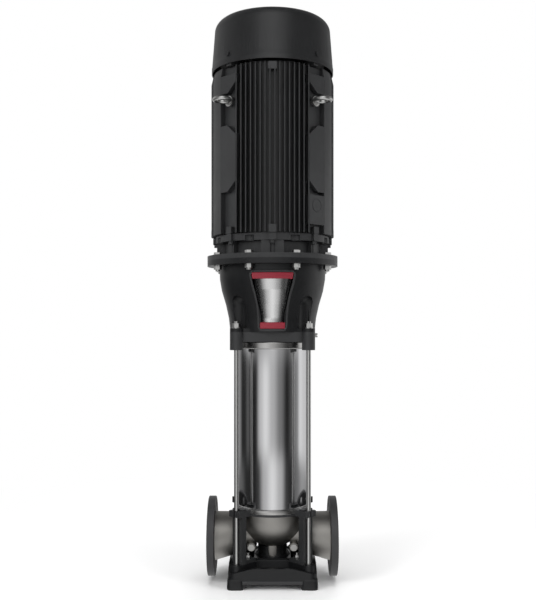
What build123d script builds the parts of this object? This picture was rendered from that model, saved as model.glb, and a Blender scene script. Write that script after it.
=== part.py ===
"""Vertical inline multistage pump with its flange-mounted motor.

The pump axis is Z and the floor is z = 0.  The suction port looks along -X,
the discharge port along +X, and the guarded coupling window along -Y.
Every length is in millimetres.
"""
import os
from math import cos, radians, sin, sqrt

from build123d import *

os.makedirs("parts", exist_ok=True)

# ------------------------------------------------------------------ driving sizes
# base casting
base_width = 295.0
base_corner = 24.0
apron_height = 70.0
apron_wall = 14.0
apron_end_height = 50.0
apron_crown_half = 66.0
deck_z = 45.0
deck_thickness = 12.0
foot_length = 50.0
arch_rise = 20.0
block_width = 124.0
block_top_z = 82.0
pedestal_wall = 6.0
slot_half = 15.0
post_radius = 21.0
post_top_z = 78.0

# staybolts
staybolt_reach = 120.0
staybolt_radius = 8.0
staybolt_hole = 0.5

# ports
port_height = 145.0
port_span = 446.0
bore_radius = 62.5
flange_radius = 135.0
flange_thickness = 24.0
flange_pcd = 220.0
flange_hole_radius = 13.0
flange_hole_count = 8
stub_thickness = 3.0
stub_radius = 92.0
stub_pipe_wall = 12.5
neck_radius = 83.0
neck_inner_radius = 62.0
neck_inner_height = 165.0
neck_inner_reach = 60.0
neck_wall = 6.0
drain_reach = 72.0
drain_height = 125.0
drain_boss_radius = 14.0

# bowl, sleeve and stage stack
bowl_radius = 125.0
bowl_rim_z = 236.0
bowl_wall = 7.0
boss_radius = 46.0
ring_height = 21.0
ring_radius = 131.0
spigot_rise = 5.0
sleeve_radius = 124.0
sleeve_wall = 4.0
stage_count = 5
stage_pitch = 104.6
chamber_radius = 104.0
chamber_wall = 4.0
sleeve_overlap = 10.0
collar_height = 24.0
collar_radius = 128.0

# head, seal and stool
head_thickness = 33.0
lug_radius = 22.0
lug_drop = 27.0
head_face_reach = 129.0
head_facet_half = 46.0
head_facet_end = 104.0
head_facet_reach = 121.0
stool_foot_thickness = 12.0
stool_height = 230.0
stool_flange_thickness = 18.0
stool_wall = 10.0
pocket_radius = 22.0
pocket_height = 75.0
shaft_radius = 19.0
seal_bore_radius = 48.0

# motor
motor_flange_radius = 225.0
motor_flange_thickness = 16.0
motor_flange_pcd = 400.0
motor_bolt_radius = 8.0
motor_bolt_count = 8
motor_shaft_radius = 30.0
motor_shaft_length = 140.0
shield_drum_height = 40.0
shield_ring_height = 26.0
frame_length = 554.0
barrel_radius = 175.0
barrel_wall = 15.0
fin_count = 14
fin_pitch = 15.8
fin_thickness = 6.0
fin_tip_radius = 206.0
pad_half_width = 36.0
pad_face = 204.5
pad_recess = 190.0
stator_length = 310.0
air_gap = 1.2
cover_length = 180.0
cover_rim_radius = 210.0
cover_neck_radius = 199.5
cover_shoulder = 38.0
cover_wall = 2.5
eye_height = 438.0

cover_rim_band = 20.0
cover_screw_rise = 32.0

# fits
running_fit = 0.05
seat_gap = 0.3

# ------------------------------------------------------------------ levels
stack_z = bowl_rim_z + ring_height + spigot_rise
ring_top_z = bowl_rim_z + ring_height
stack_top_z = stack_z + stage_count * stage_pitch
sleeve_top_z = stack_top_z + sleeve_overlap
head_z = sleeve_top_z + collar_height
head_top_z = head_z + head_thickness
stool_z = head_top_z
stool_floor_z = stool_z + stool_foot_thickness
stool_top_z = stool_floor_z + stool_height
motor_z = stool_top_z
drum_z = motor_z + motor_flange_thickness
shield_ring_z = drum_z + shield_drum_height
frame_z = shield_ring_z + shield_ring_height
frame_top_z = frame_z + frame_length
cover_z = frame_top_z + 8.0
cover_top_z = cover_z + cover_length
motor_shaft_end_z = motor_z - motor_shaft_length
pump_shaft_top_z = motor_shaft_end_z - 8.0
sleeve_bore = sleeve_radius - sleeve_wall
flange_face_x = port_span / 2 - stub_thickness
flange_back_x = flange_face_x - flange_thickness

groove_floor_radius = sleeve_bore - 3.5
ring_section_radius = 1.65
ring_centre_radius = (groove_floor_radius + sleeve_bore) / 2

corners = [(sx * staybolt_reach, sy * staybolt_reach) for sx in (1, -1) for sy in (1, -1)]
diagonals = [45.0, 135.0, 225.0, 315.0]


# ------------------------------------------------------------------ helpers
def side_plane(angle, distance, height=0.0):
    """A vertical plane facing outwards at an angle about Z, local y upwards."""
    a = radians(angle)
    out = (cos(a), sin(a), 0)
    return Plane(
        origin=(distance * out[0], distance * out[1], height),
        x_dir=(-sin(a), cos(a), 0),
        z_dir=out,
    )


def polar(radius, angle):
    """The point at a radius and an angle about Z."""
    return (radius * cos(radians(angle)), radius * sin(radians(angle)))


def discs(points, z0, z1, radius, mode=Mode.ADD):
    """Upright cylinders of one radius at several points."""
    with BuildSketch(Plane.XY.offset(z0)) as sk:
        with Locations(*points):
            Circle(radius)
    extrude(sk.sketch, amount=z1 - z0, mode=mode)


def hexes(points, z0, z1, across_flats, mode=Mode.ADD):
    """Upright hexagonal prisms at several points."""
    with BuildSketch(Plane.XY.offset(z0)) as sk:
        with Locations(*points):
            RegularPolygon(across_flats / 2, 6, major_radius=False)
    extrude(sk.sketch, amount=z1 - z0, mode=mode)


def tube(z0, z1, outer, inner, mode=Mode.ADD):
    """A plain ring about the pump axis."""
    with BuildSketch(Plane.XY.offset(z0)) as sk:
        Circle(outer)
        if inner > 0:
            Circle(inner, mode=Mode.SUBTRACT)
    extrude(sk.sketch, amount=z1 - z0, mode=mode)


def turned(points, mode=Mode.ADD):
    """A body turned about Z from a closed outline of (radius, height) points."""
    with BuildSketch(Plane.XZ) as sk:
        with BuildLine():
            Polyline(*points, close=True)
        make_face()
    revolve(sk.sketch, axis=Axis.Z, mode=mode)


def seal_groove(height):
    """The O-ring groove in a spigot that fits the sleeve's bore."""
    tube(height - 2.5, height + 2.5, sleeve_bore, groove_floor_radius, Mode.SUBTRACT)


def block(angle, face, depth, width, z0, z1, chamfer_size=0.0, mode=Mode.ADD):
    """A block whose outer face stands at a radial distance, square to an angle."""
    with BuildSketch(side_plane(angle, face, (z0 + z1) / 2)) as sk:
        Rectangle(width, z1 - z0)
        if chamfer_size > 0:
            chamfer(sk.vertices(), chamfer_size)
    extrude(sk.sketch, amount=-depth, mode=mode)


def save(builder, name):
    """Label a finished piece and write its STEP file."""
    builder.part.label = name
    export_step(builder.part, f"parts/{name}.step")


# ------------------------------------------------------------------ base casting
foot_inset = base_width / 2 - foot_length
pedestal_radius = boss_radius + seat_gap + pedestal_wall
pedestal_top_z = bowl_rim_z - sqrt(bowl_radius**2 - (pedestal_radius - pedestal_wall) ** 2) - 0.5
leg_inner = 146.0
leg_outer = 166.0
leg_width = 46.0
leg_foot_inner = 98.0
leg_foot_width = 40.0
leg_foot_thickness = 12.0
anchor_radius = 6.0
anchor_depth = 26.0
stud_radius = 6.0
stud_points = [polar(leg_foot_inner + 19, angle) for angle in diagonals]
with BuildPart() as base_plate:
    with BuildSketch():
        RectangleRounded(base_width, base_width, base_corner)
    extrude(amount=apron_height)
    well_width = base_width - 2 * apron_wall
    with BuildSketch(Plane.XY.offset(deck_z)):
        RectangleRounded(well_width, well_width, base_corner - apron_wall)
    extrude(amount=apron_height, mode=Mode.SUBTRACT)
    with BuildSketch():
        RectangleRounded(well_width, well_width, base_corner - apron_wall)
    extrude(amount=deck_z - deck_thickness, mode=Mode.SUBTRACT)
    for plane in (Plane.XZ, Plane.YZ):
        with BuildSketch(plane):
            with BuildLine():
                Polyline(
                    (-foot_inset, -1),
                    (-foot_inset, 2),
                    (-foot_inset + arch_rise * 0.7, arch_rise),
                    (foot_inset - arch_rise * 0.7, arch_rise),
                    (foot_inset, 2),
                    (foot_inset, -1),
                    close=True,
                )
            make_face()
        extrude(amount=base_width, both=True, mode=Mode.SUBTRACT)
    for angle in (0, 90, 180, 270):
        for side in (1, -1):
            with BuildSketch(side_plane(angle, base_width / 2 + 1)):
                with BuildLine():
                    Polyline(
                        (side * apron_crown_half, apron_height),
                        (side * (base_width / 2 + 1), apron_end_height),
                        (side * (base_width / 2 + 1), apron_height + 1),
                        (side * apron_crown_half, apron_height + 1),
                        close=True,
                    )
                make_face()
            extrude(amount=-(apron_wall + 1), mode=Mode.SUBTRACT)
    # centre block and the slotted pedestal that holds the bowl's boss
    with BuildSketch(Plane.XY.offset(deck_z - deck_thickness)):
        RectangleRounded(block_width, block_width, 16)
    extrude(amount=block_top_z - deck_z + deck_thickness)
    turned(
        [
            (boss_radius + seat_gap, block_top_z - 5),
            (block_width / 2 - 1, block_top_z - 5),
            (block_width / 2 - 1, block_top_z),
            (pedestal_radius + 3, block_top_z + 6),
            (pedestal_radius, block_top_z + 14),
            (pedestal_radius, pedestal_top_z),
            (boss_radius + seat_gap, pedestal_top_z),
        ]
    )
    slot_floor = block_top_z + 2
    for angle in (0, 90):
        with BuildSketch(side_plane(angle, 0, slot_floor)):
            with BuildLine():
                Polyline((-slot_half, slot_half), (-slot_half, 60), (slot_half, 60), (slot_half, slot_half))
                ThreePointArc((slot_half, slot_half), (0, 0), (-slot_half, slot_half))
            make_face()
        extrude(amount=block_width, both=True, mode=Mode.SUBTRACT)
    # corner posts, foot pads and the seats of the frame legs
    discs(corners, 0, post_top_z, post_radius)
    foot_centre = base_width / 2 - foot_length / 2
    with BuildSketch():
        with GridLocations(2 * foot_centre, 2 * foot_centre, 2, 2):
            RectangleRounded(foot_length, foot_length, base_corner)
    extrude(amount=arch_rise - 2)
    for angle in diagonals:
        block(angle, leg_outer + 2, leg_outer + 2 - leg_foot_inner, leg_foot_width + 4, deck_z - deck_thickness, post_top_z)
    discs(corners, post_top_z - 36, post_top_z + 1, staybolt_radius + staybolt_hole, Mode.SUBTRACT)
    discs(corners, -1, anchor_depth, anchor_radius, Mode.SUBTRACT)
    discs(stud_points, post_top_z - 28, post_top_z + 1, stud_radius + 0.2, Mode.SUBTRACT)
save(base_plate, "base_plate")

# ring and four legs that carry the bowl's rim
lug_top_z = ring_top_z + 5
groove_radius = staybolt_radius + 2.5
with BuildPart() as bowl_frame:
    tube(bowl_rim_z, ring_top_z, ring_radius, sleeve_bore)
    for angle in diagonals:
        block(angle, leg_outer, leg_outer - leg_inner, leg_width, post_top_z, lug_top_z)
        block(angle, leg_outer, leg_outer - leg_foot_inner - 2, leg_foot_width, post_top_z, post_top_z + leg_foot_thickness)
        block(angle, leg_outer + 14, leg_outer + 14 - sleeve_radius - 2, leg_width + 4, bowl_rim_z, ring_top_z)
    tube(bowl_rim_z - 1, lug_top_z + 1, sleeve_bore, 0, Mode.SUBTRACT)
    discs(corners, post_top_z - 1, lug_top_z + 1, groove_radius, Mode.SUBTRACT)
    discs(stud_points, post_top_z - 1, post_top_z + leg_foot_thickness + 1, stud_radius + 0.5, Mode.SUBTRACT)
save(bowl_frame, "bowl_frame")

foot_top_z = post_top_z + leg_foot_thickness
with BuildPart() as frame_studs:
    discs(stud_points, post_top_z - 26, foot_top_z + 18, stud_radius)
    hexes(stud_points, foot_top_z, foot_top_z + 10, 19)
save(frame_studs, "frame_studs")


# ------------------------------------------------------------------ pump base with its two necks
def port_plane(side, reach, height):
    """A plane square to X at a reach from the axis, facing outwards."""
    return Plane(origin=(side * reach, 0, height), x_dir=(0, side, 0), z_dir=(side, 0, 0))


def port_cone(side, outer_reach, outer_r, inner_reach, inner_height, inner_r, mode=Mode.ADD):
    """A round passage that narrows and rises from a port towards the axis."""
    with BuildSketch(port_plane(side, outer_reach, port_height)) as first:
        Circle(outer_r)
    with BuildSketch(port_plane(side, inner_reach, inner_height)) as second:
        Circle(inner_r)
    loft(first.sketch.faces() + second.sketch.faces(), mode=mode)


def port_drum(side, x0, x1, radius, mode=Mode.ADD):
    """A round length of port about the port axis."""
    with BuildSketch(port_plane(side, x0, port_height)) as sk:
        Circle(radius)
    extrude(sk.sketch, amount=x1 - x0, mode=mode)


def sphere_z(sphere_radius, radius):
    """Height of the bowl's sphere of one radius at a distance from the axis."""
    return bowl_rim_z - sqrt(sphere_radius**2 - radius**2)


bore_straight_x = flange_back_x - 6
bell_base_radius = 62.0
bell_wall = 6.0
bell_throat_z = 190.0
cavity_rim_radius = sleeve_bore - seat_gap - 6.7
inner_sphere = bowl_radius - bowl_wall
with BuildPart() as pump_base:
    with BuildSketch(Plane.XZ):
        with BuildLine():
            start = (boss_radius, sphere_z(bowl_radius, boss_radius))
            mid_r = bowl_radius * 0.78
            Polyline(start, (boss_radius, block_top_z), (0, block_top_z), (0, stack_z),
                     (sleeve_bore - seat_gap, stack_z), (sleeve_bore - seat_gap, bowl_rim_z),
                     (bowl_radius, bowl_rim_z))
            ThreePointArc((bowl_radius, bowl_rim_z), (mid_r, sphere_z(bowl_radius, mid_r)), start)
        make_face()
    revolve(axis=Axis.Z)
    for side in (1, -1):
        port_cone(side, flange_back_x, neck_radius, neck_inner_reach, neck_inner_height, neck_inner_radius)
    # discharge passage round the suction bell
    with BuildSketch(Plane.XZ):
        with BuildLine():
            low = (bell_base_radius, sphere_z(inner_sphere, bell_base_radius))
            high = (cavity_rim_radius, sphere_z(inner_sphere, cavity_rim_radius))
            mid_r = (bell_base_radius + cavity_rim_radius) / 2
            Polyline(low, (bell_base_radius, bell_throat_z), (chamber_radius, stack_z - 17),
                     (chamber_radius, stack_z + 1), (cavity_rim_radius, stack_z + 1), high)
            ThreePointArc(high, (mid_r, sphere_z(inner_sphere, mid_r)), low)
        make_face()
    revolve(axis=Axis.Z, mode=Mode.SUBTRACT)
    # suction pipe through that passage, then the bell and both bores
    port_cone(-1, flange_back_x, bore_radius + neck_wall, bell_base_radius - 8, neck_inner_height, 51)
    for side in (1, -1):
        port_drum(side, flange_back_x, flange_face_x, bore_radius + stub_pipe_wall)
        port_drum(side, flange_face_x, port_span / 2, stub_radius)
    turned(
        [
            (0, block_top_z + 46),
            (bell_base_radius - bell_wall, block_top_z + 46),
            (bell_base_radius - bell_wall, bell_throat_z),
            (chamber_radius - bell_wall, stack_z - 15),
            (chamber_radius - bell_wall, stack_z + 1),
            (0, stack_z + 1),
        ],
        Mode.SUBTRACT,
    )
    port_cone(-1, bore_straight_x, bore_radius, bell_base_radius - 20, neck_inner_height, 42, Mode.SUBTRACT)
    port_cone(1, bore_straight_x, bore_radius, bell_base_radius + 14, neck_inner_height - 4, 45, Mode.SUBTRACT)
    for side in (1, -1):
        port_drum(side, bore_straight_x - 0.5, port_span / 2 + 1, bore_radius, Mode.SUBTRACT)
        # drain bosses on the front of each neck
        with BuildSketch(Plane.XZ.offset(58)):
            with Locations((side * drain_reach, drain_height)):
                Circle(drain_boss_radius)
        extrude(amount=22)
        with BuildSketch(Plane.XZ.offset(60)):
            with Locations((side * drain_reach, drain_height)):
                Circle(9)
        extrude(amount=22, mode=Mode.SUBTRACT)
    seal_groove(ring_top_z)
save(pump_base, "pump_base")

for side, name in ((-1, "inlet_flange"), (1, "outlet_flange")):
    with BuildPart() as port_flange:
        port_drum(side, flange_back_x, flange_face_x, flange_radius)
        port_drum(side, flange_back_x, flange_face_x, bore_radius + stub_pipe_wall + seat_gap, Mode.SUBTRACT)
        with BuildSketch(port_plane(side, flange_back_x, port_height)) as holes:
            with PolarLocations(flange_pcd / 2, flange_hole_count, start_angle=22.5):
                Circle(flange_hole_radius)
        extrude(holes.sketch, amount=flange_thickness, mode=Mode.SUBTRACT)
    save(port_flange, name)

with BuildPart() as drain_plugs:
    for side in (1, -1):
        with BuildSketch(Plane.XZ.offset(64)) as shanks:
            with Locations((side * drain_reach, drain_height)):
                Circle(9 - seat_gap)
        extrude(shanks.sketch, amount=16)
        with BuildSketch(Plane.XZ.offset(80)) as heads:
            with Locations((side * drain_reach, drain_height)):
                RegularPolygon(11, 6, major_radius=False)
        extrude(heads.sketch, amount=8)
save(drain_plugs, "drain_plugs")

# ------------------------------------------------------------------ sleeve, collar and seals
with BuildPart() as outer_sleeve:
    tube(ring_top_z, sleeve_top_z, sleeve_radius, sleeve_bore)
save(outer_sleeve, "outer_sleeve")

with BuildPart() as sleeve_collar:
    tube(sleeve_top_z, head_z, collar_radius, sleeve_bore)
    fillet(sleeve_collar.edges().filter_by(GeomType.CIRCLE).sort_by(SortBy.RADIUS)[-2:], 4)
save(sleeve_collar, "sleeve_collar")

with BuildPart() as staybolts:
    discs(corners, post_top_z - 34, stool_floor_z + 24, staybolt_radius)
save(staybolts, "staybolts")

with BuildPart() as staybolt_nuts:
    discs(corners, stool_floor_z, stool_floor_z + 3, 15)
    discs(corners, stool_floor_z, stool_floor_z + 3, staybolt_radius + 0.4, Mode.SUBTRACT)
    hexes(corners, stool_floor_z + 3, stool_floor_z + 17, 24)
    discs(corners, stool_floor_z - 1, stool_floor_z + 18, staybolt_radius + 0.2, Mode.SUBTRACT)
save(staybolt_nuts, "staybolt_nuts")

# ------------------------------------------------------------------ stages
eye_radius = 50.0
hub_radius = 30.0
return_height = 30.0
plate = 3.0
impeller_radius = 84.0
impeller_gap = 5.0
vane_count = 6


def curved_vanes(z0, z1, r_in, r_out, sweep, thickness, count, mode=Mode.ADD):
    """Backward-swept vanes between two radii, each one arc of even thickness."""
    with BuildSketch(Plane.XY.offset(z0)) as sk:
        with BuildLine() as path:
            mid = polar((r_in + r_out) / 2, sweep * 0.42)
            ThreePointArc((r_in, 0), mid, polar(r_out, sweep))
        vane = offset(path.line, thickness / 2, kind=Kind.ARC, side=Side.BOTH, mode=Mode.PRIVATE)
        face = make_face(vane.edges(), mode=Mode.PRIVATE)
        with PolarLocations(0, count):
            add(face)
    extrude(sk.sketch, amount=z1 - z0, mode=mode)


for stage in range(stage_count):
    z0 = stack_z + stage * stage_pitch
    floor_z = z0 + return_height
    with BuildPart() as chamber:
        tube(z0, z0 + stage_pitch, chamber_radius, chamber_radius - chamber_wall)
        tube(floor_z, floor_z + plate, chamber_radius, eye_radius)
        tube(z0, z0 + plate, chamber_radius - 14, hub_radius + 8)
        curved_vanes(z0 + plate, floor_z, hub_radius + 14, chamber_radius - 18, -50, 4, vane_count)
    save(chamber, f"chamber_{stage + 1}")

with BuildPart() as neck_rings:
    for stage in range(stage_count):
        ring_z = stack_z + stage * stage_pitch + return_height + plate
        tube(ring_z, ring_z + 6, eye_radius + 10, eye_radius - 4)
save(neck_rings, "neck_rings")

for stage in range(stage_count):
    skirt_z = stack_z + stage * stage_pitch + return_height + plate + 0.5
    shroud_z = skirt_z + 10
    back_z = shroud_z + 30
    with BuildPart() as impeller:
        tube(skirt_z, shroud_z, eye_radius - 4.2, eye_radius - 8)
        tube(shroud_z, shroud_z + plate, impeller_radius, eye_radius - 8)
        tube(back_z, back_z + plate, impeller_radius, shaft_radius)
        tube(skirt_z + 8, back_z + 14, hub_radius, shaft_radius)
        curved_vanes(shroud_z + plate, back_z, hub_radius + 9, impeller_radius - 3, 58, 4, vane_count)
    save(impeller, f"impeller_{stage + 1}")

with BuildPart() as shaft_spacers:
    for stage in range(stage_count - 1):
        base = stack_z + stage * stage_pitch + return_height + plate + 0.5
        tube(base + 54, base + stage_pitch + 8, hub_radius - 4, shaft_radius)
save(shaft_spacers, "shaft_spacers")

# ------------------------------------------------------------------ head and shaft seal
head_outline = []
for angle in (270, 0, 90, 180):
    for x, reach in ((-head_facet_end, head_facet_reach), (-head_facet_half, head_face_reach),
                     (head_facet_half, head_face_reach), (head_facet_end, head_facet_reach)):
        a = radians(angle)
        head_outline.append((reach * cos(a) - x * sin(a), reach * sin(a) + x * cos(a)))
with BuildPart() as pump_head:
    with BuildSketch(Plane.XY.offset(head_z)):
        with BuildLine():
            Polyline(*head_outline, close=True)
        make_face()
        with Locations(*corners):
            Circle(lug_radius)
    extrude(amount=head_thickness)
    discs(corners, head_z - lug_drop, head_z, lug_radius)
    tube(head_z - lug_drop - 1, head_z, collar_radius + 0.6, 0, Mode.SUBTRACT)
    tube(stack_top_z, head_z, sleeve_bore - seat_gap, sleeve_bore - 12)
    tube(stack_top_z, head_z, chamber_radius, chamber_radius - 10)
    for angle in diagonals:
        block(angle, chamber_radius + 3, 24, 90, stack_top_z - 1, head_z, 0, Mode.SUBTRACT)
    tube(head_z - 1, head_top_z + 1, seal_bore_radius, 0, Mode.SUBTRACT)
    tube(head_z - 1, head_z + 10, sleeve_bore - 12, 0, Mode.SUBTRACT)
    tube(head_z, head_z + 10, seal_bore_radius + 10, seal_bore_radius)
    tube(head_z - 1, head_z + 10, chamber_radius, chamber_radius - 10)
    discs(corners, head_z - lug_drop - 1, head_top_z + 1, staybolt_radius + staybolt_hole, Mode.SUBTRACT)
    port_z = head_z + head_thickness * 0.6
    for angle in (0, 90):
        with BuildSketch(side_plane(angle, head_face_reach - 30, port_z)) as tapping:
            Circle(7)
        extrude(tapping.sketch, amount=31, mode=Mode.SUBTRACT)
    seal_groove(sleeve_top_z - 5)
save(pump_head, "pump_head")

with BuildPart() as o_rings:
    with BuildSketch(Plane.XZ):
        with Locations((ring_centre_radius, ring_top_z), (ring_centre_radius, sleeve_top_z - 5)):
            Circle(ring_section_radius)
    revolve(axis=Axis.Z)
save(o_rings, "o_rings")

with BuildPart() as seal_housing:
    tube(head_top_z, head_top_z + 12, 72, 24)
    tube(head_z + 6, head_top_z, seal_bore_radius - seat_gap, 34)
    discs([polar(60, 45 + 90 * k) for k in range(4)], head_top_z - 1, head_top_z + 13, 4.4, Mode.SUBTRACT)
save(seal_housing, "seal_housing")

with BuildPart() as seal_seat:
    tube(head_top_z - 9, head_top_z, 34 - seat_gap, 20.5)
save(seal_seat, "seal_seat")

with BuildPart() as seal_ring:
    tube(head_top_z - 24, head_top_z - 9.1, 29, shaft_radius)
save(seal_ring, "seal_ring")

with BuildPart() as pump_shaft:
    tube(stack_z - 30, pump_shaft_top_z, shaft_radius - running_fit, 0)
    chamfer(pump_shaft.edges().filter_by(GeomType.CIRCLE), 2)
save(pump_shaft, "pump_shaft")

# ------------------------------------------------------------------ motor stool and coupling guard
stool_profile = [(0.0, 146.0), (0.205, 151.0), (0.41, 161.0), (0.62, 175.0), (0.8, 182.0), (1.0, 184.0)]
stool_body = stool_top_z - stool_z - stool_flange_thickness
window_low_z = stool_floor_z - 2
window_high_z = stool_z + stool_body - 27
window_low_half = 43.0
window_high_half = 72.0


def stool_outline(inset):
    """(radius, height) points up the stool wall, moved in by an inset."""
    return [(r - inset, stool_z + share * stool_body) for share, r in stool_profile]


def window_sketch(face_y, inset):
    """The waisted coupling window, wider at the top, drawn looking along +Y."""
    low, high = window_low_z + inset, window_high_z - inset
    low_half, high_half = window_low_half - inset, window_high_half - inset
    height = high - low
    with BuildSketch(Plane.XZ.offset(face_y)) as sk:
        with BuildLine():
            Line((-low_half, low), (low_half, low))
            Spline((low_half, low), (low_half + 4, low + 0.42 * height), (high_half, low + 0.86 * height),
                   (high_half, high))
            Line((high_half, high), (-high_half, high))
            Spline((-high_half, high), (-high_half, low + 0.86 * height), (-low_half - 4, low + 0.42 * height),
                   (-low_half, low))
        make_face()
    return sk.sketch


def stool_skin(outer_inset, inner_inset, mode=Mode.ADD):
    """A turned skin that follows the stool wall between two insets."""
    inner = stool_outline(inner_inset)
    turned(stool_outline(outer_inset) + inner[::-1], mode)


with BuildPart() as motor_stool:
    turned([(0, stool_z)] + stool_outline(0) + [(0, stool_z + stool_body)])
    inner_wall = [(r, z) for r, z in stool_outline(stool_wall) if z > stool_floor_z]
    first_r = stool_profile[0][1] - stool_wall
    turned([(0, stool_floor_z), (first_r, stool_floor_z)] + inner_wall + [(0, stool_z + stool_body)], Mode.SUBTRACT)
    # wrench pockets over the staybolt nuts, walled inside
    wells = []
    for point in corners:
        wells.append(point)
    discs(wells, stool_z, stool_z + pocket_height + 22, pocket_radius + 8)
    tube(stool_z - 1, stool_top_z, 240, 0, Mode.INTERSECT)
    stool_limit = [(0, stool_z - 1), (stool_profile[0][1], stool_z - 1)] + stool_outline(0)
    turned(stool_limit + [(0, stool_z + stool_body)], Mode.INTERSECT)
    discs(wells, stool_z - 1, stool_floor_z + pocket_height, pocket_radius, Mode.SUBTRACT)
    with Locations(*[(x, y, stool_floor_z + pocket_height) for x, y in wells]):
        Sphere(pocket_radius, mode=Mode.SUBTRACT)
    # foot plate with the staybolt lugs
    with BuildSketch(Plane.XY.offset(stool_z)):
        with BuildLine():
            Polyline(*head_outline, close=True)
        make_face()
        with Locations(*corners):
            Circle(lug_radius)
    extrude(amount=stool_foot_thickness)
    tube(stool_top_z - stool_flange_thickness, stool_top_z, motor_flange_radius, stool_profile[-1][1] - stool_wall)
    extrude(window_sketch(-240, 0), amount=480, mode=Mode.SUBTRACT)
    tube(stool_z - 1, stool_floor_z + 1, 72 + seat_gap, 0, Mode.SUBTRACT)
    discs(corners, stool_z - 1, stool_floor_z + 1, staybolt_radius + staybolt_hole, Mode.SUBTRACT)
    bolt_circle = [polar(motor_flange_pcd / 2, 22.5 + 45 * k) for k in range(motor_bolt_count)]
    discs(bolt_circle, stool_top_z - stool_flange_thickness - 1, stool_top_z + 1, motor_bolt_radius + 0.75, Mode.SUBTRACT)
save(motor_stool, "motor_stool")

trim_height = 22.0
for side, name in ((1, "guard_front"), (-1, "guard_back")):
    with BuildPart() as guard:
        stool_skin(4, 6)
        reach = side * 240
        extrude(window_sketch(0, 0.6), amount=reach, mode=Mode.INTERSECT)
    save(guard, name)

with BuildPart() as guard_trims:
    stool_skin(-1, 4)
    for level, keep in (((window_low_z + trim_height), 0),):
        tube(window_low_z + trim_height, window_high_z - trim_height, 260, 0, Mode.SUBTRACT)
    extrude(window_sketch(-240, 1.2), amount=480, mode=Mode.INTERSECT)
save(guard_trims, "guard_trims")

# ------------------------------------------------------------------ coupling
coupling_radius = 60.0
coupling_low_z = head_top_z + 26
coupling_high_z = motor_z - 46
bore_step_z = (pump_shaft_top_z + motor_shaft_end_z) / 2
with BuildPart() as coupling_halves:
    tube(coupling_low_z, coupling_high_z, coupling_radius, 0)
    chamfer(coupling_halves.edges().filter_by(GeomType.CIRCLE), 3)
    tube(coupling_low_z - 1, bore_step_z, shaft_radius + running_fit, 0, Mode.SUBTRACT)
    tube(bore_step_z, coupling_high_z + 1, motor_shaft_radius + running_fit, 0, Mode.SUBTRACT)
    with BuildSketch(Plane.XY.offset(coupling_low_z - 1)):
        Rectangle(3 * coupling_radius, 3)
    extrude(amount=coupling_high_z - coupling_low_z + 2, mode=Mode.SUBTRACT)
    screw_points = [(sx * 44, coupling_low_z + 22 + k * 44) for sx in (1, -1) for k in range(3)]
    with BuildSketch(Plane.XZ):
        with Locations(*screw_points):
            Circle(6.3)
    extrude(amount=coupling_radius, both=True, mode=Mode.SUBTRACT)
    for side in (1, -1):
        with BuildSketch(Plane.XZ.offset(side * 24)):
            with Locations(*screw_points):
                Circle(10)
        extrude(amount=side * coupling_radius, mode=Mode.SUBTRACT)
save(coupling_halves, "coupling_halves")

with BuildPart() as coupling_screws:
    with BuildSketch(Plane.XZ.offset(-24)) as shanks:
        with Locations(*screw_points):
            Circle(6)
    extrude(shanks.sketch, amount=48)
    with BuildSketch(Plane.XZ.offset(24)) as heads:
        with Locations(*screw_points):
            Circle(9)
    extrude(heads.sketch, amount=11)
    with BuildSketch(Plane.XZ.offset(-24)) as nuts:
        with Locations(*screw_points):
            RegularPolygon(8.6, 6, major_radius=False)
    extrude(nuts.sketch, amount=-9)
    with BuildSketch(Plane.XZ.offset(29)) as sockets:
        with Locations(*screw_points):
            RegularPolygon(4.5, 6)
    extrude(sockets.sketch, amount=8, mode=Mode.SUBTRACT)
save(coupling_screws, "coupling_screws")

# ------------------------------------------------------------------ motor end shields and bearings
cover_taper = (cover_rim_radius - 1 - cover_neck_radius) / (cover_length - cover_shoulder - cover_rim_band)


def cover_radius(height):
    """Outer radius of the fan cover's tapered wall at a height above its rim."""
    return cover_rim_radius - 1 - cover_taper * (height - cover_rim_band)


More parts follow.
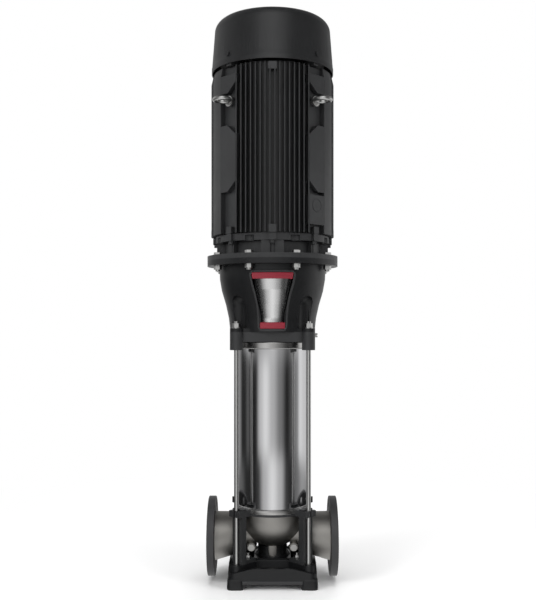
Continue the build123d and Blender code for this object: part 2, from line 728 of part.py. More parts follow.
screw_z = cover_z + cover_screw_rise
bearing_outer = 70.0
bearing_inner = 32.5
bearing_width = 33.0
low_bearing_z = motor_z + 26
high_bearing_z = frame_top_z - 24
spigot_radius = barrel_radius - barrel_wall - running_fit
lug_angles = [45.0 * k for k in range(8)]
clamp_points = [polar(fin_tip_radius - 12, angle) for angle in lug_angles]
drum_radius = 168.0
ring_outer = 196.0
with BuildPart() as de_shield:
    turned(
        [
            (motor_shaft_radius + 6, motor_z),
            (motor_flange_radius, motor_z),
            (motor_flange_radius, drum_z),
            (drum_radius, drum_z + 3),
            (drum_radius, shield_ring_z),
            (ring_outer, shield_ring_z + 3),
            (ring_outer, frame_z),
            (spigot_radius, frame_z),
            (spigot_radius, frame_z + 10),
            (spigot_radius - 8, frame_z + 10),
            (spigot_radius - 8, drum_z + 2),
            (bearing_outer + 16, drum_z - 2),
            (bearing_outer + 16, low_bearing_z + bearing_width + 2),
            (bearing_outer + seat_gap / 3, low_bearing_z + bearing_width + 2),
            (bearing_outer + seat_gap / 3, low_bearing_z),
            (motor_shaft_radius + 6, low_bearing_z),
        ]
    )
    for angle in (0, 90, 180, 270):
        block(angle, 190, 30, 74, drum_z - 4, shield_ring_z + 6)
    for angle in diagonals:
        block(angle, 188, 28, 12, drum_z - 4, shield_ring_z + 6)
    for angle in lug_angles:
        block(angle, fin_tip_radius - 1, 24, 24, shield_ring_z + 2, frame_z, 3)
    discs(clamp_points, shield_ring_z, frame_z + 1, 5.6, Mode.SUBTRACT)
    discs(clamp_points, drum_z + 2, shield_ring_z + 2, 9.5, Mode.SUBTRACT)
    tube(stool_top_z - 6, stool_top_z, stool_profile[-1][1] - stool_wall - seat_gap, 150)
    discs(bolt_circle, motor_z - 1, drum_z + 60, motor_bolt_radius + 0.75, Mode.SUBTRACT)
    discs(bolt_circle, drum_z, drum_z + 60, 17, Mode.SUBTRACT)
save(de_shield, "de_shield")

with BuildPart() as nde_shield:
    turned(
        [
            (bearing_inner + 4, frame_top_z - 30),
            (bearing_outer + 14, frame_top_z - 30),
            (bearing_outer + 14, frame_top_z - 4),
            (spigot_radius - 8, frame_top_z - 2),
            (spigot_radius - 8, frame_top_z - 10),
            (spigot_radius, frame_top_z - 10),
            (spigot_radius, frame_top_z),
            (barrel_radius - 2, frame_top_z),
            (barrel_radius - 2, frame_top_z + 10),
            (bearing_outer + 12, frame_top_z + 16),
            (bearing_outer + seat_gap / 3, frame_top_z + 16),
            (bearing_outer + seat_gap / 3, high_bearing_z),
            (bearing_inner + 4, high_bearing_z),
        ]
    )
    for angle in diagonals:
        lug_face = cover_radius(cover_screw_rise + 10) - cover_wall - 2 * seat_gap
        block(angle, lug_face, 48, 22, frame_top_z + 1, screw_z + 10)
        block(angle, lug_face - 20, 30, 24, frame_top_z + 22, screw_z + 20, 0, Mode.SUBTRACT)
        with BuildSketch(side_plane(angle, lug_face - 16, screw_z)) as tapping:
            Circle(3.4)
        extrude(tapping.sketch, amount=20, mode=Mode.SUBTRACT)
save(nde_shield, "nde_shield")

with BuildPart() as bearing_outer_rings:
    for z in (low_bearing_z, high_bearing_z):
        tube(z, z + bearing_width, bearing_outer, 56)
        tube(z + 2, z + 4, 57, 44.2)
        tube(z + bearing_width - 4, z + bearing_width - 2, 57, 44.2)
save(bearing_outer_rings, "bearing_outer_rings")

with BuildPart() as bearing_inner_rings:
    for z in (low_bearing_z, high_bearing_z):
        tube(z, z + bearing_width, 44, bearing_inner)
save(bearing_inner_rings, "bearing_inner_rings")

# ------------------------------------------------------------------ motor frame
fin_reach = (fin_count - 1) / 2 * fin_pitch
with BuildPart() as motor_frame:
    with BuildSketch(Plane.XY.offset(frame_z)) as section:
        Circle(barrel_radius)
        for angle in (0, 90, 180, 270):
            a = radians(angle)
            for k in range(fin_count):
                across = (k - (fin_count - 1) / 2) * fin_pitch
                middle = (fin_tip_radius + 130) / 2
                with Locations(Location((middle * cos(a) - across * sin(a), middle * sin(a) + across * cos(a)), angle)):
                    Rectangle(fin_tip_radius - 130 + 20, fin_thickness)
        Circle(fin_tip_radius, mode=Mode.INTERSECT)
    extrude(section.sketch, amount=frame_length)
    for angle in diagonals:
        block(angle, pad_recess, 30, 2 * pad_half_width, frame_z + 2, frame_top_z)
        block(angle, pad_face, 40, 2 * pad_half_width, frame_z + 464, frame_top_z, 0)
        block(angle, pad_face, 40, 2 * pad_half_width, frame_z + 138, frame_z + 359, 18)
        block(angle, pad_face, 40, 2 * pad_half_width, frame_z + 32, frame_z + 128, 4)
        with BuildSketch(side_plane(angle, pad_recess - 5, frame_z + eye_height)) as boss:
            Circle(20)
        extrude(boss.sketch, amount=13)
    for angle in lug_angles:
        block(angle, fin_tip_radius - 1, 36, 24, frame_z, frame_z + 24, 3)
    # seat of the terminal box on the back
    block(90, fin_tip_radius + 2, 46, 176, frame_z + 250, frame_z + 440)
    tube(frame_z - 1, frame_top_z + 1, barrel_radius - barrel_wall, 0, Mode.SUBTRACT)
    for angle in diagonals:
        with BuildSketch(side_plane(angle, pad_recess - 26, frame_z + eye_height)) as tapping:
            Circle(10.3)
        extrude(tapping.sketch, amount=40, mode=Mode.SUBTRACT)
        with BuildSketch(side_plane(angle, pad_face - 14, frame_z + 108)) as hole:
            Circle(7)
        extrude(hole.sketch, amount=20, mode=Mode.SUBTRACT)
    discs(clamp_points, frame_z - 1, frame_z + 18, 5.2, Mode.SUBTRACT)
    with BuildSketch(side_plane(90, 100, frame_z + 345)) as lead_hole:
        Circle(28)
    extrude(lead_hole.sketch, amount=130, mode=Mode.SUBTRACT)
save(motor_frame, "motor_frame")

with BuildPart() as eye_bolts:
    for angle in diagonals:
        with BuildSketch(side_plane(angle, pad_recess - 24, frame_z + eye_height)) as shank:
            Circle(10)
        extrude(shank.sketch, amount=32)
        with BuildSketch(side_plane(angle, pad_recess + 8, frame_z + eye_height)) as collar:
            Circle(17)
        extrude(collar.sketch, amount=7)
        with BuildSketch(side_plane(angle, pad_recess + 15, frame_z + eye_height)) as neck:
            Circle(8)
        extrude(neck.sketch, amount=8)
        x, y = polar(pad_recess + 44, angle)
        with Locations((x, y, frame_z + eye_height)):
            Torus(25, 7)
save(eye_bolts, "eye_bolts")

# ------------------------------------------------------------------ stator, rotor and shaft
stator_z = frame_z + 112
stator_bore = 98.0
with BuildPart() as stator_core:
    tube(stator_z, stator_z + stator_length, barrel_radius - barrel_wall - running_fit, stator_bore)
save(stator_core, "stator_core")

with BuildPart() as stator_windings:
    for z0, z1 in ((stator_z - 46, stator_z), (stator_z + stator_length, stator_z + stator_length + 46)):
        tube(z0, z1, 146, 108)
    fillet(stator_windings.edges().filter_by(GeomType.CIRCLE), 9)
save(stator_windings, "stator_windings")

with BuildPart() as rotor_core:
    tube(stator_z, stator_z + stator_length, stator_bore - air_gap, 36)
    tube(stator_z - 12, stator_z, stator_bore - 5, 62)
    tube(stator_z + stator_length, stator_z + stator_length + 12, stator_bore - 5, 62)
save(rotor_core, "rotor_core")

fan_z = cover_z + 34
with BuildPart() as motor_shaft:
    turned(
        [
            (0, motor_shaft_end_z),
            (motor_shaft_radius - 2, motor_shaft_end_z),
            (motor_shaft_radius, motor_shaft_end_z + 2),
            (motor_shaft_radius, low_bearing_z),
            (bearing_inner, low_bearing_z),
            (bearing_inner, low_bearing_z + bearing_width),
            (36, low_bearing_z + bearing_width),
            (36, high_bearing_z),
            (bearing_inner, high_bearing_z),
            (bearing_inner, high_bearing_z + bearing_width),
            (27, high_bearing_z + bearing_width),
            (27, fan_z + 46),
            (0, fan_z + 46),
        ]
    )
save(motor_shaft, "motor_shaft")

with BuildPart() as fan:
    tube(fan_z, fan_z + 44, 44, 27)
    tube(fan_z, fan_z + 4, 180, 44)
    with BuildSketch(Plane.XY.offset(fan_z)) as blades:
        with PolarLocations(112, 9):
            Rectangle(138, 4)
    extrude(blades.sketch, amount=44)
    tube(fan_z - 1, fan_z + 50, 27, 0, Mode.SUBTRACT)
save(fan, "fan")

# ------------------------------------------------------------------ fan cover
with BuildPart() as fan_cover:
    shoulder_z = cover_top_z - cover_shoulder
    with BuildSketch(Plane.XZ):
        with BuildLine():
            Line((0, cover_top_z), (cover_neck_radius - cover_shoulder, cover_top_z))
            RadiusArc((cover_neck_radius - cover_shoulder, cover_top_z), (cover_neck_radius, shoulder_z), cover_shoulder)
            Polyline((cover_neck_radius, shoulder_z), (cover_rim_radius - 1, cover_z + cover_rim_band),
                     (cover_rim_radius, cover_z + 18), (cover_rim_radius, cover_z),
                     (cover_rim_radius - cover_wall, cover_z), (cover_rim_radius - cover_wall, cover_z + 18),
                     (cover_neck_radius - cover_wall, shoulder_z))
            RadiusArc((cover_neck_radius - cover_wall, shoulder_z),
                      (cover_neck_radius - cover_shoulder, cover_top_z - cover_wall), -(cover_shoulder - cover_wall))
            Polyline((cover_neck_radius - cover_shoulder, cover_top_z - cover_wall), (0, cover_top_z - cover_wall),
                     (0, cover_top_z))
        make_face()
    revolve(axis=Axis.Z)
    for count, radius, length in ((12, 48, 36), (24, 94, 40), (36, 138, 34)):
        with BuildSketch(Plane.XY.offset(cover_top_z - 10)) as slots:
            with PolarLocations(radius, count):
                SlotOverall(length, 8)
        extrude(slots.sketch, amount=20, mode=Mode.SUBTRACT)
    for angle in diagonals:
        with BuildSketch(side_plane(angle, cover_rim_radius - 10, cover_z + 32)) as hole:
            Circle(4.5)
        extrude(hole.sketch, amount=20, mode=Mode.SUBTRACT)
save(fan_cover, "fan_cover")

with BuildPart() as fan_cover_screws:
    for angle in diagonals:
        seat = cover_radius(cover_screw_rise - 8) + 0.1
        with BuildSketch(side_plane(angle, seat - 18, screw_z)) as shank:
            Circle(3.2)
        extrude(shank.sketch, amount=18.5)
        with BuildSketch(side_plane(angle, seat, screw_z)) as head:
            Circle(8)
        extrude(head.sketch, amount=4.5)
save(fan_cover_screws, "fan_cover_screws")

# ------------------------------------------------------------------ terminal box on the back
box_width = 230.0
box_height = 215.0
box_depth = 84.0
box_wall = 5.0
box_low_z = frame_z + 240
box_back_y = fin_tip_radius + 2
box_face_y = box_back_y + box_depth
lid_thickness = 14.0
box_mid_z = box_low_z + box_height / 2
entry_radius = 20.0
entry_points = [(-58, box_back_y + 42), (58, box_back_y + 42)]
lid_corners = [(sx * (box_width / 2 - 14), box_mid_z + sz * (box_height / 2 - 14)) for sx in (1, -1) for sz in (1, -1)]
with BuildPart() as terminal_box:
    with BuildSketch(side_plane(90, box_back_y, box_mid_z)) as outline:
        RectangleRounded(box_width, box_height, 20)
    extrude(outline.sketch, amount=box_depth)
    with BuildSketch(side_plane(90, box_back_y + box_wall, box_mid_z)) as inside:
        RectangleRounded(box_width - 2 * box_wall, box_height - 2 * box_wall, 15)
    extrude(inside.sketch, amount=box_depth, mode=Mode.SUBTRACT)
    for x, z in lid_corners:
        with BuildSketch(Plane.XZ.offset(-box_face_y)) as post:
            with Locations((x, z)):
                Circle(9)
        extrude(post.sketch, amount=box_depth - 2)
    for x, z in lid_corners:
        with BuildSketch(Plane.XZ.offset(-box_face_y)) as tapping:
            with Locations((x, z)):
                Circle(3.3)
        extrude(tapping.sketch, amount=20, mode=Mode.SUBTRACT)
    discs(entry_points, box_low_z - 6, box_low_z + 3, entry_radius + 8)
    discs(entry_points, box_low_z - 8, box_low_z + 8, entry_radius, Mode.SUBTRACT)
    with BuildSketch(side_plane(90, box_back_y - 1, frame_z + 345)) as lead_hole:
        Circle(28)
    extrude(lead_hole.sketch, amount=10, mode=Mode.SUBTRACT)
save(terminal_box, "terminal_box")

with BuildPart() as terminal_lid:
    with BuildSketch(side_plane(90, box_face_y, box_mid_z)) as outline:
        RectangleRounded(box_width, box_height, 20)
    extrude(outline.sketch, amount=lid_thickness)
    fillet(terminal_lid.faces().sort_by(Axis.Y)[-1].edges(), 6)
    with BuildSketch(side_plane(90, box_face_y, box_mid_z)) as inside:
        RectangleRounded(box_width - 56, box_height - 56, 8)
    extrude(inside.sketch, amount=lid_thickness - 5, mode=Mode.SUBTRACT)
    for x, z in lid_corners:
        with BuildSketch(Plane.XZ.offset(-box_face_y - lid_thickness - 1)) as hole:
            with Locations((x, z)):
                Circle(3.6)
        extrude(hole.sketch, amount=lid_thickness + 2, mode=Mode.SUBTRACT)
save(terminal_lid, "terminal_lid")

with BuildPart() as lid_screws:
    for x, z in lid_corners:
        with BuildSketch(Plane.XZ.offset(-box_face_y - lid_thickness)) as shank:
            with Locations((x, z)):
                Circle(3)
        extrude(shank.sketch, amount=lid_thickness + 14)
        with BuildSketch(Plane.XZ.offset(-box_face_y - lid_thickness)) as head:
            with Locations((x, z)):
                Circle(6.5)
        extrude(head.sketch, amount=-5)
save(lid_screws, "lid_screws")

with BuildPart() as blanking_plugs:
    discs(entry_points, box_low_z - 6, box_low_z + 7, entry_radius - seat_gap)
    discs(entry_points, box_low_z - 12, box_low_z - 6, entry_radius + 7)
save(blanking_plugs, "blanking_plugs")

with BuildPart() as terminal_block:
    with BuildSketch(side_plane(90, box_back_y + box_wall, box_mid_z - 46)) as board:
        Rectangle(116, 62)
    extrude(board.sketch, amount=16)
    posts = [(x, box_mid_z - 46 + z) for x in (-38, 0, 38) for z in (-18, 18)]
    with BuildSketch(Plane.XZ.offset(-box_back_y - box_wall - 16)) as studs:
        with Locations(*posts):
            Circle(4)
    extrude(studs.sketch, amount=-20)
save(terminal_block, "terminal_block")

# ------------------------------------------------------------------ bolts of the motor joint and the shields
with BuildPart() as flange_fasteners:
    head_low = drum_z
    nut_high = stool_top_z - stool_flange_thickness
    hexes(bolt_circle, head_low, head_low + 10, 24)
    discs(bolt_circle, nut_high - 20, head_low, motor_bolt_radius)
    nuts = [(x, y) for x, y in bolt_circle]
    with BuildSketch(Plane.XY.offset(nut_high - 14)) as nut_section:
        with Locations(*nuts):
            RegularPolygon(12, 6, major_radius=False)
            Circle(motor_bolt_radius + 0.2, mode=Mode.SUBTRACT)
    extrude(nut_section.sketch, amount=14)
save(flange_fasteners, "flange_fasteners")

with BuildPart() as shield_screws:
    discs(clamp_points, shield_ring_z + 2, frame_z + 16, 5)
    discs(clamp_points, shield_ring_z - 8, shield_ring_z + 2, 8)
save(shield_screws, "shield_screws")

# ------------------------------------------------------------------ vent and priming plugs on the head
vent_z = head_z + head_thickness * 0.6
with BuildPart() as vent_plug:
    with BuildSketch(side_plane(0, head_face_reach - 20, vent_z)) as shank:
        Circle(7 - seat_gap)
    extrude(shank.sketch, amount=20)
    with BuildSketch(side_plane(0, head_face_reach, vent_z)) as head:
        RegularPolygon(11, 6, major_radius=False)
    extrude(head.sketch, amount=14)
    with BuildSketch(side_plane(0, head_face_reach - 21, vent_z)) as passage:
        Circle(3.1)
    extrude(passage.sketch, amount=40, mode=Mode.SUBTRACT)
save(vent_plug, "vent_plug")

with BuildPart() as vent_spindle:
    with BuildSketch(side_plane(0, head_face_reach - 12, vent_z)) as needle:
        Circle(3.1 - running_fit)
    extrude(needle.sketch, amount=27)
    with BuildSketch(side_plane(0, head_face_reach + 15, vent_z)) as knob:
        Circle(7)
    extrude(knob.sketch, amount=12)
    with BuildSketch(side_plane(0, head_face_reach + 24, vent_z)) as slot:
        Rectangle(20, 2)
    extrude(slot.sketch, amount=4, mode=Mode.SUBTRACT)
save(vent_spindle, "vent_spindle")

with BuildPart() as priming_plug:
    with BuildSketch(side_plane(90, head_face_reach - 20, vent_z)) as shank:
        Circle(7 - seat_gap)
    extrude(shank.sketch, amount=20)
    with BuildSketch(side_plane(90, head_face_reach, vent_z)) as head:
        RegularPolygon(11, 6, major_radius=False)
    extrude(head.sketch, amount=10)
save(priming_plug, "priming_plug")

with BuildPart() as seal_screws:
    points = [polar(60, 45 + 90 * k) for k in range(4)]
    discs(points, head_top_z + 12, head_top_z + 20, 6.5)
    discs(points, head_top_z, head_top_z + 12, 4)
save(seal_screws, "seal_screws")
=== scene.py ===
"""Vertical multistage pump: finishes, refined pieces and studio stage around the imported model."""

from contextlib import contextmanager
from math import cos, pi, radians, sin

import bmesh
import bpy
import numpy as np
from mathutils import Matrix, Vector


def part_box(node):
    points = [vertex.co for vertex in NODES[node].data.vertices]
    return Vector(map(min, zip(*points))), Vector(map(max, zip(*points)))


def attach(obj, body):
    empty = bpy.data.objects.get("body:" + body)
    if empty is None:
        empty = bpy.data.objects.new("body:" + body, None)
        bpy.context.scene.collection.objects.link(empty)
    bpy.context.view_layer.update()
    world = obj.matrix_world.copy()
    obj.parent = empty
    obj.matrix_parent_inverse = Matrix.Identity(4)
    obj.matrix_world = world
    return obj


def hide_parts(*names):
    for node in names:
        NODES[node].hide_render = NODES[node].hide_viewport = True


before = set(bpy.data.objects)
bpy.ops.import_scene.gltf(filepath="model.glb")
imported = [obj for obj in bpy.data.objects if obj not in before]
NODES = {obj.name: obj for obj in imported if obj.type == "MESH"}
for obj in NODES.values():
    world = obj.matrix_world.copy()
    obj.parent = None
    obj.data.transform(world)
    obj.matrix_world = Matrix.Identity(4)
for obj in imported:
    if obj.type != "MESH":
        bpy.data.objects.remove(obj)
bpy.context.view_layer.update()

bl_info = {
    "name": "Vertical multistage pump",
    "version": (1, 0, 0),
    "blender": (4, 5, 0),
    "location": "View3D > Sidebar > Pump",
    "description": "Builds the finished pump and its studio stage around the packed model",
    "category": "Add Mesh",
}

MM = 0.001


# ---------------------------------------------------------------- settings
def colour_prop(name, text, default):
    """A colour setting, written as linear red, green and blue."""
    return bpy.props.FloatVectorProperty(
        name=name, description=text, subtype="COLOR", size=3, min=0, max=1, default=default
    )


def length_prop(name, text, default):
    """A length setting in metres."""
    return bpy.props.FloatProperty(name=name, description=text, default=default, unit="LENGTH")


class PumpColours(bpy.types.PropertyGroup):
    """The colours of the pump's finishes."""

    black_paint: colour_prop("Motor paint", "Enamel on the motor's cast pieces and the pump head",
                             (0.0225, 0.023, 0.024))
    # painted shade: a darker copy of the motor paint that makes the stool and the base look shaded
    shade_darkened_black: colour_prop("Pump paint", "Deep black enamel on the stool and the base",
                            (0.0075, 0.0078, 0.0085))
    cover_paint: colour_prop("Cover paint", "Enamel on the pressed fan cover", (0.0125, 0.0128, 0.0135))
    flange_paint: colour_prop("Flange paint", "Enamel on the loose port flanges", (0.028, 0.028, 0.0295))
    cast_stainless: colour_prop("Cast stainless", "Blasted cast stainless steel", (0.41, 0.397, 0.375))
    sleeve: colour_prop("Sleeve", "Bright drawn stainless tube", (0.66, 0.66, 0.67))
    guard_steel: colour_prop("Guard", "Brushed stainless sheet of the coupling guard", (0.76, 0.76, 0.76))
    collar_steel: colour_prop("Collar", "Turned stainless collar and bowl rim", (0.50, 0.495, 0.485))
    zinc: colour_prop("Zinc", "Bright plated fasteners", (0.62, 0.62, 0.61))
    red_trim: colour_prop("Red trim", "Moulded trim bars of the coupling guard", (0.200, 0.010, 0.022))


class PumpSizes(bpy.types.PropertyGroup):
    """The sizes of the refined pieces and of the stage."""

    cast_edge: length_prop("Cast edge", "Rounding of the edges on cast pieces", 0.0016)
    fin_tip: length_prop("Fin tip radius", "From the motor's axis to the fin tips", 0.2115)
    fin_thickness: length_prop("Fin thickness", "Thickness of a cooling fin at its tip", 0.0046)
    fin_pitch: length_prop("Fin pitch", "Spacing of the cooling fins", 0.0158)
    pad_face: length_prop("Pad face", "From the motor's axis to the corner pads", 0.2080)
    guard_top: length_prop("Guard top radius", "Curvature of the guard shell at its top", 0.097)
    guard_bottom: length_prop("Guard bottom radius", "Curvature of the guard shell at its bottom", 0.056)
    view_distance: length_prop("View distance", "From the camera to the pump's axis", 2.95)
    view_height: length_prop("View height", "Height of the camera above the floor", 0.892)


def settings():
    """The sizes and colours held by the scene."""
    return bpy.context.scene.pump_sizes, bpy.context.scene.pump_colours


# ---------------------------------------------------------------- shader parts
def feed(tree, value, socket):
    """Set a socket to a number, or link it to another socket."""
    if isinstance(value, (int, float)):
        socket.default_value = value
    else:
        tree.links.new(value, socket)


def maths(tree, operation, *values):
    """A Math node on sockets or numbers."""
    node = tree.nodes.new("ShaderNodeMath")
    node.operation = operation
    for value, socket in zip(values, node.inputs):
        feed(tree, value, socket)
    return node.outputs["Value"]


def mixed(tree, share, first, second, blend="MIX"):
    """A colour mixed from two others by a share."""
    node = tree.nodes.new("ShaderNodeMix")
    node.data_type = "RGBA"
    node.blend_type = blend
    feed(tree, share, node.inputs["Factor"])
    tree.links.new(first, node.inputs["A"])
    tree.links.new(second, node.inputs["B"])
    return node.outputs["Result"]


def mixed_shader(tree, share, first, second):
    """A shader mixed from two others by a share."""
    node = tree.nodes.new("ShaderNodeMixShader")
    tree.links.new(share, node.inputs["Fac"])
    tree.links.new(first, node.inputs[1])
    tree.links.new(second, node.inputs[2])
    return node.outputs["Shader"]


def stops_ramp(tree, value, stops, interpolation="LINEAR"):
    """A ramp of grey levels at positions from 0 to 1."""
    node = tree.nodes.new("ShaderNodeValToRGB")
    ramp = node.color_ramp
    ramp.interpolation = interpolation
    while len(ramp.elements) < len(stops):
        ramp.elements.new(0.5)
    for element, (position, level) in zip(ramp.elements, stops):
        element.position = position
        element.color = (level, level, level, 1)
    tree.links.new(value, node.inputs["Fac"])
    return node.outputs["Color"]


def object_coords(tree, stretch=(1.0, 1.0, 1.0)):
    """Object coordinates, scaled along each axis."""
    coords = tree.nodes.new("ShaderNodeTexCoord")
    mapping = tree.nodes.new("ShaderNodeMapping")
    mapping.inputs["Scale"].default_value = stretch
    tree.links.new(coords.outputs["Object"], mapping.inputs["Vector"])
    return mapping.outputs["Vector"]


def noise(tree, vector, scale, detail):
    """A noise texture on a vector, with its scale as a number or a socket."""
    node = tree.nodes.new("ShaderNodeTexNoise")
    node.inputs["Detail"].default_value = detail
    node.inputs["Roughness"].default_value = 0.55
    tree.links.new(vector, node.inputs["Vector"])
    feed(tree, scale, node.inputs["Scale"])
    return node.outputs["Fac"]


def centred(tree, value):
    """The middle half of a noise value, stretched to -0.5 to 0.5."""
    node = tree.nodes.new("ShaderNodeMapRange")
    for label, end in (("From Min", 0.25), ("From Max", 0.75), ("To Min", -0.5), ("To Max", 0.5)):
        node.inputs[label].default_value = end
    tree.links.new(value, node.inputs["Value"])
    return node.outputs["Result"]


def new_group(name, inputs, outputs):
    """An empty shader group with named inputs, each with its default, and named outputs."""
    tree = bpy.data.node_groups.new(name, "ShaderNodeTree")
    for label, value in inputs.items():
        kind = "NodeSocketFloat" if isinstance(value, float) else "NodeSocketColor"
        tree.interface.new_socket(name=label, in_out="INPUT", socket_type=kind).default_value = value
    for label, kind in outputs.items():
        tree.interface.new_socket(name=label, in_out="OUTPUT", socket_type=kind)
    return tree, tree.nodes.new("NodeGroupInput").outputs, tree.nodes.new("NodeGroupOutput").inputs


def surface_grain_group():
    """Fine skin of a coated or blasted surface: tone drift, gloss drift and grain height."""
    tree, given, out = new_group(
        "surface_grain",
        {"Colour": (0.5, 0.5, 0.5, 1), "Drift": 0.1, "Roughness": 0.4, "Gloss drift": 0.06,
         "Grain scale": 400.0},
        {"Colour": "NodeSocketColor", "Roughness": "NodeSocketFloat", "Height": "NodeSocketFloat"},
    )
    vector = object_coords(tree)
    tone = stops_ramp(tree, noise(tree, vector, 9.0, 4.0), ((0.3, 0.45), (0.65, 1.0)))
    clouds = centred(tree, noise(tree, vector, 38.0, 4.0))
    tree.links.new(mixed(tree, given["Drift"], given["Colour"], tone, "MULTIPLY"), out["Colour"])
    rough = maths(tree, "MULTIPLY_ADD", clouds, given["Gloss drift"], given["Roughness"])
    tree.links.new(rough, out["Roughness"])
    tree.links.new(noise(tree, vector, given["Grain scale"], 2.0), out["Height"])


def brushed_lines_group():
    """Fine drawn lines along Z: roughness and height that change quickly across the lines."""
    tree, given, out = new_group(
        "brushed_lines",
        {"Roughness": 0.2, "Line contrast": 0.1, "Line scale": 300.0},
        {"Roughness": "NodeSocketFloat", "Height": "NodeSocketFloat"},
    )
    lines = noise(tree, object_coords(tree, (1.0, 1.0, 0.02)), given["Line scale"], 3.0)
    rough = maths(tree, "MULTIPLY_ADD", centred(tree, lines), given["Line contrast"], given["Roughness"])
    tree.links.new(rough, out["Roughness"])
    tree.links.new(lines, out["Height"])


# ---------------------------------------------------------------- finishes
def principled(name, metallic=0.0, specular=0.5):
    """A material with its Principled shader and nothing linked yet."""
    mat = bpy.data.materials.new(name)
    mat.use_nodes = True
    shader = mat.node_tree.nodes["Principled BSDF"]
    shader.inputs["Metallic"].default_value = metallic
    shader.inputs["Specular IOR Level"].default_value = specular
    return mat, shader


def skinned(mat, shader, group, values, relief):
    """Feed a shader's roughness and normal from a group with its own values; relief is in millimetres."""
    tree = mat.node_tree
    skin = tree.nodes.new("ShaderNodeGroup")
    skin.node_tree = bpy.data.node_groups[group]
    for label, value in values.items():
        skin.inputs[label].default_value = value
    bump = tree.nodes.new("ShaderNodeBump")
    bump.inputs["Strength"].default_value = 1.0
    bump.inputs["Distance"].default_value = relief * MM
    tree.links.new(skin.outputs["Roughness"], shader.inputs["Roughness"])
    tree.links.new(skin.outputs["Height"], bump.inputs["Height"])
    tree.links.new(bump.outputs["Normal"], shader.inputs["Normal"])
    return skin


def coated(name, colour, roughness, drift=0.35, gloss_drift=0.08, grain=500.0, relief=0.02, **shader_values):
    """A painted, moulded or blasted surface made with the surface grain group."""
    mat, shader = principled(name, **shader_values)
    skin = skinned(mat, shader, "surface_grain", {
        "Colour": (*colour, 1), "Drift": drift, "Roughness": roughness,
        "Gloss drift": gloss_drift, "Grain scale": grain,
    }, relief)
    mat.node_tree.links.new(skin.outputs["Colour"], shader.inputs["Base Color"])
    return mat


def drawn(name, colour, roughness, contrast, scale, relief):
    """A bright metal with fine lines along Z."""
    mat, shader = principled(name, metallic=1.0)
    shader.inputs["Base Color"].default_value = (*colour, 1)
    skinned(mat, shader, "brushed_lines", {
        "Roughness": roughness, "Line contrast": contrast, "Line scale": scale,
    }, relief)
    return mat


def build_finishes():
    """One material for each finish: the record's slots, and the finishes of OWN_FINISH."""
    _, colours = settings()
    surface_grain_group()
    brushed_lines_group()
    return [
        coated("black_paint", colours.black_paint, 0.40, grain=260, relief=0.10, specular=0.42),
        # painted shade: the motor paint made darker and less glossy for the stool and the base
        coated("shade_darkened_black", colours.shade_darkened_black, 0.37, grain=260, relief=0.08, specular=0.36),
        coated("fan_cover_paint", colours.cover_paint, 0.33, grain=700, relief=0.03, gloss_drift=0.05,
               specular=0.45),
        coated("flange_paint", colours.flange_paint, 0.45, grain=300, relief=0.06),
        coated("box_paint", colours.black_paint, 0.40, grain=500, relief=0.05),
        coated("cast_stainless", colours.cast_stainless, 0.46, drift=0.14, grain=420, relief=0.05,
               metallic=1.0),
        drawn("polished_sleeve", colours.sleeve, 0.13, 0.04, 260, 0.002),
        drawn("guard_steel", colours.guard_steel, 0.25, 0.08, 420, 0.004),
        drawn("collar_steel", colours.collar_steel, 0.24, 0.06, 200, 0.002),
        coated("bright_fasteners", colours.zinc, 0.30, drift=0.1, grain=300, relief=0.002, gloss_drift=0.04,
               metallic=1.0),
        coated("machined_steel", (0.46, 0.455, 0.44), 0.36, drift=0.12, grain=500, relief=0.01,
               metallic=1.0),
        coated("stage_steel", (0.56, 0.55, 0.53), 0.33, drift=0.12, metallic=1.0),
        coated("red_trim", colours.red_trim, 0.36, drift=0.15, grain=500, relief=0.02),
        coated("seal_rubber", (0.02, 0.02, 0.02), 0.7),
        coated("seal_carbide", (0.04, 0.04, 0.045), 0.2),
        coated("lamination_steel", (0.12, 0.12, 0.125), 0.5, metallic=0.8),
        coated("winding_copper", (0.42, 0.17, 0.07), 0.35, metallic=0.9),
        coated("fan_plastic", (0.022, 0.022, 0.023), 0.5),
    ]


FINISHES = {}

# nodes whose look differs a little from the rest of their slot; the stool and the base get a darker, less
# glossy copy of the motor paint, which is painted shade
OWN_FINISH = {"base_plate": "shade_darkened_black", "motor_stool": "shade_darkened_black", "sleeve_collar": "collar_steel"}


def plain_name(mat):
    """A material's name without the number that Blender adds to a second of the same name."""
    return mat.name.split(".")[0]


def give_finish(obj, finish):
    """Put one finish on an object, in place of what it has."""
    obj.data.materials.clear()
    obj.data.materials.append(FINISHES[finish])


# ---------------------------------------------------------------- outlines and skins
def full_turn(count):
    """Evenly spaced angles of a full turn, in radians."""
    return np.linspace(0, 2 * pi, count, endpoint=False)


def at_height(plan, z):
    """Rows of a plan with one more column, which holds the same height throughout."""
    return np.column_stack([plan, np.full(len(plan), z)])


def turned_outline(points, angle):
    """(along, out) points laid on the side of the motor that faces an angle in degrees.

    x = out cos A - along sin A, y = out sin A + along cos A
    """
    points = np.asarray(points, dtype=float)
    a = radians(angle)
    along, out = points[..., 0], points[..., 1]
    return np.stack([out * cos(a) - along * sin(a), out * sin(a) + along * cos(a)], axis=-1)


def rounded_loop(corners, radius, steps=5):
    """A closed polygon with each corner replaced by points on a quadratic curve of about that radius.

    Point on a corner = (1-u)^2 a + 2u(1-u) corner + u^2 b, for u in 0 to 1, where a and b lie on its sides.
    """
    corners = np.asarray(corners, dtype=float)
    u = np.linspace(0, 1, steps)[None, :, None]
    ends = []
    for neighbour in (1, -1):
        side = np.roll(corners, neighbour, axis=0) - corners
        length = np.linalg.norm(side, axis=1)
        ends.append(corners + side / length[:, None] * np.minimum(radius, 0.45 * length)[:, None])
    a, b = ends
    curve = (1 - u) ** 2 * a[:, None] + 2 * u * (1 - u) * corners[:, None] + u ** 2 * b[:, None]
    return curve.reshape(-1, curve.shape[-1])


